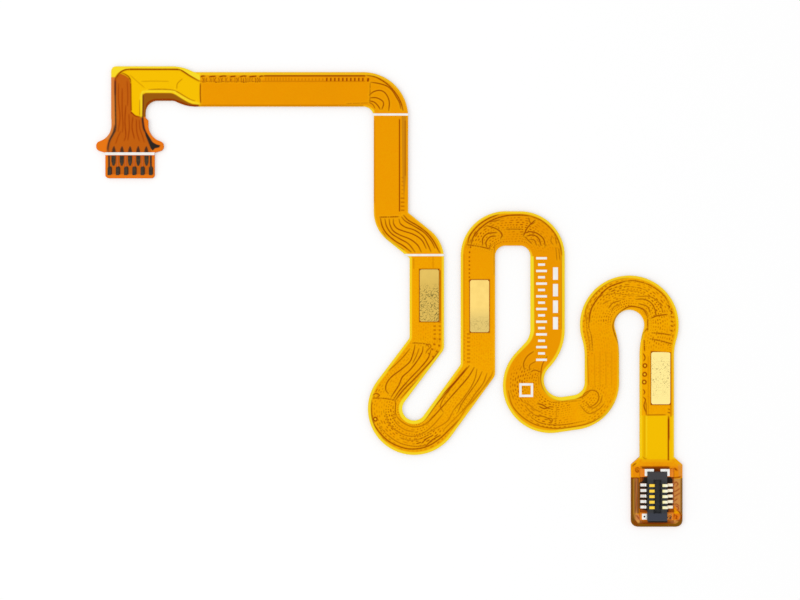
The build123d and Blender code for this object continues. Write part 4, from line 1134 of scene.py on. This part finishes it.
def film_section(name, grid, masks, first, last, relief):
    """One closed stretch of the film: the top grid, turned down at both edges to a flat underside."""
    rows = slice(first, last + 1)
    x, y, along, to_right, to_left, sunk = [part[rows] for part in grid[:6]]
    z = film_heights(along, sunk, masks["trace"][rows], relief)
    top = np.stack([x, y, z], -1)
    under = top[:, [-1, 0]].copy()
    under[..., 2] = Z_UNDER
    ring = np.concatenate([top, under], 1)
    count, around = ring.shape[:2]
    below = np.ones((count, 2))
    spread = {}
    for key, value in masks.items():
        spread[key] = np.concatenate([value[rows], below if key == "under" else 0 * below], 1)
    across = (to_right - to_left) / 2
    flow = np.stack([
        np.repeat(along[:, None], around, 1),
        np.concatenate([across, across[:, [-1, 0]]], 1),
    ], -1)
    corners, sizes = tube_faces(count, around)
    return finished_mesh(name, ring.reshape(-1, 3), corners, sizes, spread, flow.reshape(-1, 2))


def placed(name, data):
    """A new object in the scene that holds a mesh, camera or lamp."""
    found = bpy.data.objects.new(name, data)
    bpy.context.scene.collection.objects.link(found)
    return found


def finished_mesh(name, points, corners, sizes, masks=None, flow=None):
    """A mesh from whole arrays: points in millimetres, face corners, and how many corners each has."""
    mesh = bpy.data.meshes.new(name)
    mesh.vertices.add(len(points))
    mesh.vertices.foreach_set("co", (np.asarray(points) * MM).astype(np.float32).ravel())
    mesh.loops.add(len(corners))
    mesh.loops.foreach_set("vertex_index", corners.astype(np.int32))
    mesh.polygons.add(len(sizes))
    starts = np.concatenate([[0], np.cumsum(sizes)[:-1]])
    mesh.polygons.foreach_set("loop_start", starts.astype(np.int32))
    mesh.polygons.foreach_set("loop_total", sizes.astype(np.int32))
    mesh.update(calc_edges=True)
    mesh.validate()
    mesh.polygons.foreach_set("use_smooth", np.ones(len(mesh.polygons), bool))
    mesh.set_sharp_from_angle(angle=math.radians(35))
    for key, values in (masks or {}).items():
        attribute = mesh.attributes.new(key, "FLOAT", "POINT")
        attribute.data.foreach_set("value", values.astype(np.float32).ravel())
    if flow is not None:
        layer = mesh.uv_layers.new(name="flow")
        layer.data.foreach_set("uv", flow[corners].astype(np.float32).ravel())
    return placed(name, mesh)


# Materials


def socket(group, name, kind, way, default=None):
    item = group.interface.new_socket(name=name, in_out=way, socket_type=kind)
    if default is not None:
        item.default_value = default
    return item


def mottle_group():
    """Soft cloudy tone and fine grain: two sizes of noise on object coordinates."""
    found = bpy.data.node_groups.get("Mottle")
    if found:
        return found
    group = bpy.data.node_groups.new("Mottle", "ShaderNodeTree")
    socket(group, "Cloud Scale", "NodeSocketFloat", "INPUT", 700.0)
    socket(group, "Grain Scale", "NodeSocketFloat", "INPUT", 9000.0)
    socket(group, "Tone", "NodeSocketFloat", "OUTPUT")
    socket(group, "Grain", "NodeSocketFloat", "OUTPUT")
    nodes, links = group.nodes, group.links
    enter = nodes.new("NodeGroupInput")
    leave = nodes.new("NodeGroupOutput")
    place = nodes.new("ShaderNodeTexCoord")
    for name, scale, detail in (("Tone", "Cloud Scale", 3.0), ("Grain", "Grain Scale", 2.0)):
        noise = nodes.new("ShaderNodeTexNoise")
        noise.inputs["Detail"].default_value = detail
        links.new(place.outputs["Object"], noise.inputs["Vector"])
        links.new(enter.outputs[scale], noise.inputs["Scale"])
        links.new(noise.outputs["Fac"], leave.inputs[name])
    return group


def scribble_group():
    """Thin curly scratches: where a noise on object coordinates passes through its middle value."""
    found = bpy.data.node_groups.get("Scribble")
    if found:
        return found
    group = bpy.data.node_groups.new("Scribble", "ShaderNodeTree")
    socket(group, "Scale", "NodeSocketFloat", "INPUT", 3000.0)
    socket(group, "Width", "NodeSocketFloat", "INPUT", 0.03)
    socket(group, "Line", "NodeSocketFloat", "OUTPUT")
    nodes, links = group.nodes, group.links
    enter = nodes.new("NodeGroupInput")
    leave = nodes.new("NodeGroupOutput")
    place = nodes.new("ShaderNodeTexCoord")
    noise = nodes.new("ShaderNodeTexNoise")
    noise.inputs["Detail"].default_value = 1.0
    links.new(place.outputs["Object"], noise.inputs["Vector"])
    links.new(enter.outputs["Scale"], noise.inputs["Scale"])
    close = nodes.new("ShaderNodeMath")
    close.operation = "COMPARE"
    close.inputs[1].default_value = 0.5
    links.new(noise.outputs["Fac"], close.inputs[0])
    links.new(enter.outputs["Width"], close.inputs[2])
    links.new(close.outputs[0], leave.inputs["Line"])
    return group


class Look:
    """A material whose colour starts as one tone and is mixed with others by masks."""

    def __init__(self, name, base, roughness, metallic=0.0, specular=0.5):
        self.material = bpy.data.materials.new(name)
        self.material.use_nodes = True
        tree = self.material.node_tree
        self.nodes, self.links = tree.nodes, tree.links
        self.shader = self.nodes["Principled BSDF"]
        self.shader.inputs["Roughness"].default_value = roughness
        self.shader.inputs["Metallic"].default_value = metallic
        self.shader.inputs["Specular IOR Level"].default_value = specular
        self.mottle = self.nodes.new("ShaderNodeGroup")
        self.mottle.node_tree = mottle_group()
        self.place = self.nodes.new("ShaderNodeSeparateXYZ")
        texture = self.nodes.new("ShaderNodeTexCoord")
        self.links.new(texture.outputs["Object"], self.place.inputs[0])
        self.result = None
        self.base = base

    def grain(self, cloud, grain):
        self.mottle.inputs["Cloud Scale"].default_value = cloud
        self.mottle.inputs["Grain Scale"].default_value = grain
        return self

    def mask(self, name):
        found = self.nodes.new("ShaderNodeAttribute")
        found.attribute_name = name
        return found.outputs["Fac"]

    def ramp(self, value, low, high, first=0.0, last=1.0):
        found = self.nodes.new("ShaderNodeMapRange")
        found.inputs["From Min"].default_value = low
        found.inputs["From Max"].default_value = high
        found.inputs["To Min"].default_value = first
        found.inputs["To Max"].default_value = last
        self.links.new(value, found.inputs["Value"])
        return found.outputs["Result"]

    def product(self, first, second):
        found = self.nodes.new("ShaderNodeMath")
        found.operation = "MULTIPLY"
        self.links.new(first, found.inputs[0])
        self.links.new(second, found.inputs[1])
        return found.outputs[0]

    def band(self, axis, low, high, soft=0.02):
        """1 between two places along an axis, in millimetres, and 0 outside them."""
        place = self.place.outputs[axis]
        rise = self.ramp(place, (low - soft) * MM, (low + soft) * MM)
        fall = self.ramp(place, (high + soft) * MM, (high - soft) * MM)
        return self.product(rise, fall)

    def scribble(self, scale, width):
        found = self.nodes.new("ShaderNodeGroup")
        found.node_tree = scribble_group()
        found.inputs["Scale"].default_value = scale
        found.inputs["Width"].default_value = width
        return found.outputs["Line"]

    def mix(self, share, tone):
        """Mix in a colour by a mask socket."""
        found = self.nodes.new("ShaderNodeMix")
        found.data_type = "RGBA"
        self.links.new(share, found.inputs["Factor"])
        if self.result is None:
            found.inputs["A"].default_value = (*self.base, 1.0)
        else:
            self.links.new(self.result, found.inputs["A"])
        found.inputs["B"].default_value = (*tone[:3], 1.0)
        self.result = found.outputs["Result"]
        return self

    def cloud(self, tone, strength):
        return self.mix(self.ramp(self.mottle.outputs["Tone"], 0.35, 0.65, 0.0, strength), tone)

    def finish(self, bump=0.0):
        self.links.new(self.result, self.shader.inputs["Base Color"])
        if bump:
            node = self.nodes.new("ShaderNodeBump")
            node.inputs["Strength"].default_value = 1.0
            node.inputs["Distance"].default_value = bump
            self.links.new(self.mottle.outputs["Grain"], node.inputs["Height"])
            self.links.new(node.outputs["Normal"], self.shader.inputs["Normal"])
        return self.material


def dress(material, *nodes):
    for name in nodes:
        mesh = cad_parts[name].data
        mesh.materials.clear()
        mesh.materials.append(material)


def nodes_named(*starts):
    return [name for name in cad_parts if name.startswith(starts)]


def film_material(settings):
    """Amber film: its tones along the route, then the zones, the lines, the edge and the underside."""
    look = Look("amber_film", tuple(settings.film_colour), 0.42, specular=0.01).grain(700.0, 11000.0)
    look.mix(look.mask("light"), tuple(settings.light_colour))
    look.cloud(colour(250, 160, 0), 0.3)
    specks = look.ramp(look.mottle.outputs["Grain"], 0.4, 0.7)
    share = look.ramp(look.mask("light"), 0.2, 1.0, 0.2, 0.38)
    look.mix(look.product(specks, share), colour(240, 130, 0))
    look.mix(look.mask("pale"), tuple(settings.pale_colour))
    look.mix(look.mask("olive"), colour(204, 132, 18))
    look.mix(look.mask("warm"), colour(238, 122, 22))
    look.mix(look.mask("bare"), colour(186, 118, 34))
    look.mix(look.mask("brown"), colour(200, 99, 16))
    look.mix(look.mask("tan"), colour(198, 148, 92))
    look.mix(look.mask("shade"), colour(112, 68, 14))
    # Painted highlight on the lit shoulders beside the embossed lines
    look.mix(look.ramp(look.mask("halo"), 0.0, 0.6, 0.0, 0.5), colour(255, 188, 10))
    # The lines of the conductors are darkened here as painted shade in their embossed grooves
    look.mix(look.mask("trace"), tuple(settings.conductor_gap_shade_colour))
    look.mix(look.mask("rim"), tuple(settings.rim_colour))
    # The dark mask holds painted shade in the connector's opening, besides the dark outlines and finger
    # shapes
    look.mix(look.mask("dark"), colour(48, 40, 34))
    flow = look.nodes.new("ShaderNodeUVMap")
    flow.uv_map = "flow"
    split = look.nodes.new("ShaderNodeSeparateXYZ")
    look.links.new(flow.outputs["UV"], split.inputs[0])
    across = split.outputs["Y"]
    lanes = look.nodes.new("ShaderNodeMath")
    lanes.operation = "PINGPONG"
    lanes.inputs[1].default_value = HALF_LANE
    look.links.new(across, lanes.inputs[0])
    tracks = look.product(look.ramp(lanes.outputs[0], 0.05, 0.06), look.ramp(across, -0.42, -0.40))
    look.mix(look.product(look.mask("under"), tracks), colour(206, 112, 10))
    return look.finish(bump=0.000002)


def metal_material(name, tone, cloud, roughness):
    look = Look(name, tone, roughness, metallic=1.0).grain(1500.0, 9000.0)
    look.cloud(cloud, 0.5)
    return look.finish(bump=0.000002)


def lands_material():
    """Copper lands browned by flux, with the dark hole of the lower left one."""
    look = Look("fluxed_lands", colour(226, 136, 40), 0.5, metallic=1.0).grain(1500.0, 9000.0)
    look.cloud(colour(206, 112, 28), 0.5)
    hole = look.product(look.band("X", -1.02, -0.8, 0.01), look.band("Y", -1.64, -1.42, 0.01))
    look.mix(hole, colour(46, 32, 36))
    return look.finish(bump=0.000002)


def laminate_material():
    look = Look("amber_laminate", colour(206, 116, 24), 0.5, specular=0.2).grain(600.0, 8000.0)
    look.cloud(colour(188, 100, 20), 0.6)
    return look.finish(bump=0.000002)


def gold_material(name, tone, cloud, lower, low, high, scale, width, amount):
    """Gold plating that is duller between two heights, with curly scratches there."""
    look = Look(name + "_gold", colour(*tone), 0.5, metallic=1.0).grain(1800.0, 9000.0)
    look.cloud(colour(*cloud), 0.5)
    look.mix(look.band("Y", low - 3.0, high + 0.3, 0.5), colour(*lower))
    lines = look.product(look.scribble(scale, width), look.band("Y", low, high, 0.25))
    look.mix(look.ramp(lines, 0.0, 1.0, 0.0, amount), colour(92, 84, 40))
    return look.finish(bump=0.000003)


def rear_finger_material():
    look = Look("dark_plating", colour(42, 34, 24), 0.5, metallic=0.2, specular=0.2)
    look.grain(3500.0, 14000.0).cloud(colour(78, 60, 38), 0.7)
    return look.finish(bump=0.000004)


def front_finger_material():
    """Nearly the same plating, with a copper tone on the leads that pass between the rear fingers."""
    look = Look("dark_plating_with_leads", colour(40, 34, 26), 0.5, metallic=0.2, specular=0.2)
    look.grain(3500.0, 14000.0).cloud(colour(76, 60, 42), 0.7)
    lead = look.product(look.band("Y", 23.89, 26.0, 0.01), look.band("X", -39.6, -36.8, 0.01))
    look.mix(lead, colour(196, 92, 26))
    return look.finish(bump=0.000004)


def ink_material():
    look = Look("white_ink", colour(252, 250, 246), 0.6, specular=0.2).grain(2500.0, 12000.0)
    look.cloud(colour(238, 234, 224), 0.6)
    return look.finish(bump=0.000003)


def housing_material():
    """Moulded black plastic, a little warmer on the upper bar and bluer on the lower one."""
    look = Look("moulded_housing", colour(34, 36, 38), 0.5, specular=0.3).grain(2500.0, 14000.0)
    look.cloud(colour(50, 52, 54), 0.8)
    look.mix(look.band("Y", 1.2, 2.4, 0.1), colour(56, 54, 57))
    look.mix(look.band("Y", -2.2, -1.2, 0.1), colour(48, 52, 64))
    return look.finish(bump=0.000005)


def flux_material():
    look = Look("amber_flux", colour(240, 140, 24), 0.4, specular=0.3).grain(4000.0, 14000.0)
    look.cloud(colour(252, 196, 90), 0.8)
    look.mix(look.scribble(4200.0, 0.035), colour(120, 50, 10))
    return look.finish(bump=0.000005)


def left_contact_material():
    """Tin on the foot, a painted shadow where the contact enters the housing, and gold on its crown."""
    look = Look("left_contacts", colour(244, 244, 240), 0.35, metallic=0.9).grain(2500.0, 9000.0)
    look.cloud(colour(200, 198, 192), 0.6)
    # Painted shadow over the riser that the housing's rib hides
    look.mix(look.band("X", -0.79, -0.1, 0.015), colour(34, 32, 30))
    look.mix(look.band("X", -0.60, -0.1, 0.02), colour(250, 208, 70))
    return look.finish(bump=0.000002)


def right_contact_material():
    """Tin that turns to pale gold towards the housing, as a painted reflection on the gold crown, and a
    painted shadow at the inner end.
    """
    look = Look("right_contacts_painted_light", colour(250, 248, 226), 0.35, metallic=0.9).grain(2500.0, 9000.0)
    look.cloud(colour(238, 226, 186), 0.6)
    # Painted reflection: the gold crown is painted pale, where the left contacts show it gold
    look.mix(look.band("X", 0.1, 0.5, 0.16), colour(242, 232, 160))
    # Painted shadow at the inner end, inside the housing
    look.mix(look.band("X", 0.1, 0.35, 0.015), colour(34, 32, 30))
    return look.finish(bump=0.000002)


# Stage


def seen_rays(nodes, links, *kinds):
    """1 for rays of any of the given kinds, and 0 for all others."""
    path = nodes.new("ShaderNodeLightPath")
    found = path.outputs[kinds[0]]
    for kind in kinds[1:]:
        larger = nodes.new("ShaderNodeMath")
        larger.operation = "MAXIMUM"
        links.new(found, larger.inputs[0])
        links.new(path.outputs[kind], larger.inputs[1])
        found = larger.outputs[0]
    return found


def add_camera(settings):
    """The camera straight above the middle of the view, as high as its lens needs for the width."""
    data = bpy.data.cameras.new("camera")
    data.lens = settings.lens
    data.clip_start = 0.002
    data.clip_end = 5.0
    camera = placed("camera", data)
    height = settings.lens / data.sensor_width * settings.view_width * MM
    camera.location = (settings.view_x * MM, settings.view_y * MM, height + Z_TOP * MM)
    bpy.context.scene.camera = camera


def add_surroundings(settings):
    """White surroundings: full white where they are seen, and weaker where they light the cable."""
    world = bpy.data.worlds.new("white_surroundings")
    bpy.context.scene.world = world
    world.use_nodes = True
    nodes, links = world.node_tree.nodes, world.node_tree.links
    sky = nodes["Background"]
    sky.inputs["Color"].default_value = (1.0, 1.0, 1.0, 1.0)
    seen = seen_rays(nodes, links, "Is Camera Ray", "Is Glossy Ray", "Is Transmission Ray")
    level = nodes.new("ShaderNodeMapRange")
    level.inputs["To Min"].default_value = settings.sky
    level.inputs["To Max"].default_value = 1.0
    links.new(seen, level.inputs["Value"])
    links.new(level.outputs["Result"], sky.inputs["Strength"])


def add_lamp(settings):
    """One soft square lamp, leaning in from the left. Its power gives the set share of white."""
    away = 0.35
    lean = math.radians(30.0)
    data = bpy.data.lights.new("soft_lamp", "AREA")
    data.size = 0.25
    data.energy = settings.lamp * math.pi**2 * away**2
    lamp = placed("soft_lamp", data)
    middle = settings.view_x * MM
    lamp.location = (middle - away * math.sin(lean), settings.view_y * MM, away * math.cos(lean))
    lamp.rotation_euler = (0.0, -lean, 0.0)


def floor_material():
    """Grey paper that glows where it is seen, so that it looks white and still takes a soft shadow."""
    paper = bpy.data.materials.new("white_floor")
    paper.use_nodes = True
    nodes, links = paper.node_tree.nodes, paper.node_tree.links
    shader = nodes["Principled BSDF"]
    shader.inputs["Base Color"].default_value = (0.6, 0.6, 0.6, 1.0)
    shader.inputs["Roughness"].default_value = 1.0
    shader.inputs["Specular IOR Level"].default_value = 0.0
    glow = nodes.new("ShaderNodeMath")
    glow.operation = "MULTIPLY"
    glow.inputs[1].default_value = 0.45
    links.new(seen_rays(nodes, links, "Is Camera Ray", "Is Glossy Ray"), glow.inputs[0])
    shader.inputs["Emission Color"].default_value = (1.0, 1.0, 1.0, 1.0)
    links.new(glow.outputs[0], shader.inputs["Emission Strength"])
    return paper


def add_floor():
    reach = 3.0
    gap = 0.00001
    mesh = bpy.data.meshes.new("floor")
    corners = [(-reach, -reach, 0), (reach, -reach, 0), (reach, reach, 0), (-reach, reach, 0)]
    mesh.from_pydata(corners, [], [(0, 1, 2, 3)])
    mesh.materials.append(floor_material())
    floor = placed("floor", mesh)
    floor.location = (0.0, 0.0, -gap)


# Settings


def size_setting(name, description, default):
    return FloatProperty(name=name, description=description, default=default, min=0.0, precision=4)


def place_setting(name, description, default):
    return FloatProperty(name=name, description=description, default=default)


def share_setting(name, description, default):
    return FloatProperty(name=name, description=description, default=default, min=0.0)


def tint_setting(name, description, default):
    look = {"subtype": "COLOR", "min": 0.0, "max": 1.0}
    return FloatVectorProperty(name=name, description=description, default=default, **look)


class CableFilmSettings(bpy.types.PropertyGroup):
    step: size_setting("Rung step", "Distance between the rungs of the film's grid, in millimetres", 0.042)
    columns: IntProperty(name="Columns", description="Points across the film", default=90, min=8)
    relief: size_setting("Embossing", "Depth of the embossing over the conductors, in millimetres", 0.004)
    film_colour: tint_setting("Film", "Colour of the amber film over copper", colour(240, 152, 0))
    light_colour: tint_setting("Light film", "Colour of the film where it is lightest", colour(255, 181, 0))
    pale_colour: tint_setting("Pale film", "Colour of the film with no copper under it", colour(254, 197, 2))
    rim_colour: tint_setting("Edge", "Colour of the clear edge of the covers", colour(255, 225, 42))
    # Colour of the lines beside the conductors, darkened as painted shade in the embossed grooves
    conductor_gap_shade_colour: tint_setting("Conductors", "Colour of the gaps beside conductors", colour(146, 34, 0))


class CableStageSettings(bpy.types.PropertyGroup):
    lens: FloatProperty(name="Lens", description="Focal length of the camera", default=100.0, unit="CAMERA")
    view_width: size_setting("View width", "Width of the view at the film, in millimetres", 58.0)
    view_x: place_setting("View X", "X at the middle of the view, in millimetres", -18.618)
    view_y: place_setting("View Y", "Y at the middle of the view, in millimetres", 14.21)
    sky: share_setting("Sky", "Strength of the white surroundings on the cable", 0.72)
    lamp: share_setting("Lamp", "Share of white that the soft lamp adds", 0.28)


# Operators and panel


class CableBuild(bpy.types.Operator):
    """A step of the build. The film and stage steps read the scene's settings."""

    bl_options = {"REGISTER", "UNDO"}


class FLEXCABLE_OT_film(CableBuild):
    """Build the film in five stretches that meet under the white fold lines and in the bends"""

    bl_idname = "flexcable.film"
    bl_label = "Film"

    def execute(self, context):
        settings = context.scene.cable_film
        grid = film_grid(settings.step, settings.columns)
        along = grid[2]
        masks = film_masks(grid)
        material = film_material(settings)
        ends = [MARKS[name] + distance for _, name, distance in STRETCHES]
        rows = [int(np.searchsorted(along, end)) for end in [along[0], *ends]]
        names = ["film_%s_stretch" % row[0] for row in STRETCHES]
        for name, first, last in zip(names, rows, rows[1:]):
            piece = film_section(name, grid, masks, first, last, settings.relief)
            piece.data.materials.append(material)
            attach(piece, "root")
        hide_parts("top_cover", "base_film", "bottom_cover")
        return {"FINISHED"}


class FLEXCABLE_OT_finishes(CableBuild):
    """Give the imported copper, stiffeners, ink and bare contacts their finishes"""

    bl_idname = "flexcable.finishes"
    bl_label = "Finishes"

    def execute(self, context):
        copper = metal_material("etched_copper", colour(196, 120, 60), colour(170, 96, 44), 0.35)
        dress(copper, "plug_ground_plane", "guard_trace", "contact_pads", "plated_holes")
        dress(copper, *nodes_named("signal_trace", "ground_plane"))
        dress(lands_material(), "corner_pads")
        dress(laminate_material(), "plug_stiffener", "connector_stiffener")
        for name, *row in WINDOW_LOOKS:
            dress(gold_material(name, *row), name)
        dress(rear_finger_material(), *nodes_named("rear_contact"))
        dress(front_finger_material(), *nodes_named("front_contact"))
        dress(ink_material(), "fold_line_upper", "fold_line_lower", "insertion_line", "legend_marks")
        return {"FINISHED"}


class FLEXCABLE_OT_connector(CableBuild):
    """Give the board connector its moulded, tinned and gilded finishes"""

    bl_idname = "flexcable.connector"
    bl_label = "Connector"

    def execute(self, context):
        dress(housing_material(), "connector_housing")
        tin = metal_material("bright_tin", colour(244, 244, 240), colour(205, 204, 198), 0.35)
        dress(tin, "hold_down_left", "hold_down_right", "hold_tab_left", "solder_joints")
        dress(flux_material(), "hold_tab_right")
        dress(left_contact_material(), *nodes_named("connector_contact_left"))
        dress(right_contact_material(), *nodes_named("connector_contact_right"))
        return {"FINISHED"}


class FLEXCABLE_OT_stage(CableBuild):
    """Set the camera over the cable, the soft white surroundings, one lamp and the floor"""

    bl_idname = "flexcable.stage"
    bl_label = "Stage"

    def execute(self, context):
        settings = context.scene.cable_stage
        context.scene.view_settings.view_transform = "Standard"
        add_camera(settings)
        add_surroundings(settings)
        add_lamp(settings)
        add_floor()
        return {"FINISHED"}


class FLEXCABLE_PT_panel(bpy.types.Panel):
    bl_idname = "FLEXCABLE_PT_panel"
    bl_label = "Flex cable"
    bl_space_type = "VIEW_3D"
    bl_region_type = "UI"
    bl_category = "Flex cable"

    def draw(self, context):
        for title, settings in (("Film", context.scene.cable_film), ("Stage", context.scene.cable_stage)):
            box = self.layout.box()
            box.label(text=title)
            for name in settings.__annotations__:
                box.prop(settings, name)
        for operator in OPERATORS:
            self.layout.operator(operator.bl_idname)


OPERATORS = (FLEXCABLE_OT_film, FLEXCABLE_OT_finishes, FLEXCABLE_OT_connector, FLEXCABLE_OT_stage)
CLASSES = (CableFilmSettings, CableStageSettings, *OPERATORS, FLEXCABLE_PT_panel)


def register():
    for item in CLASSES:
        bpy.utils.register_class(item)
    bpy.types.Scene.cable_film = PointerProperty(type=CableFilmSettings)
    bpy.types.Scene.cable_stage = PointerProperty(type=CableStageSettings)


def unregister():
    del bpy.types.Scene.cable_stage
    del bpy.types.Scene.cable_film
    for item in reversed(CLASSES):
        bpy.utils.unregister_class(item)


def main():
    register()
    bpy.ops.flexcable.film()
    bpy.ops.flexcable.finishes()
    bpy.ops.flexcable.connector()
    bpy.ops.flexcable.stage()


if __name__ == "__main__":
    main()
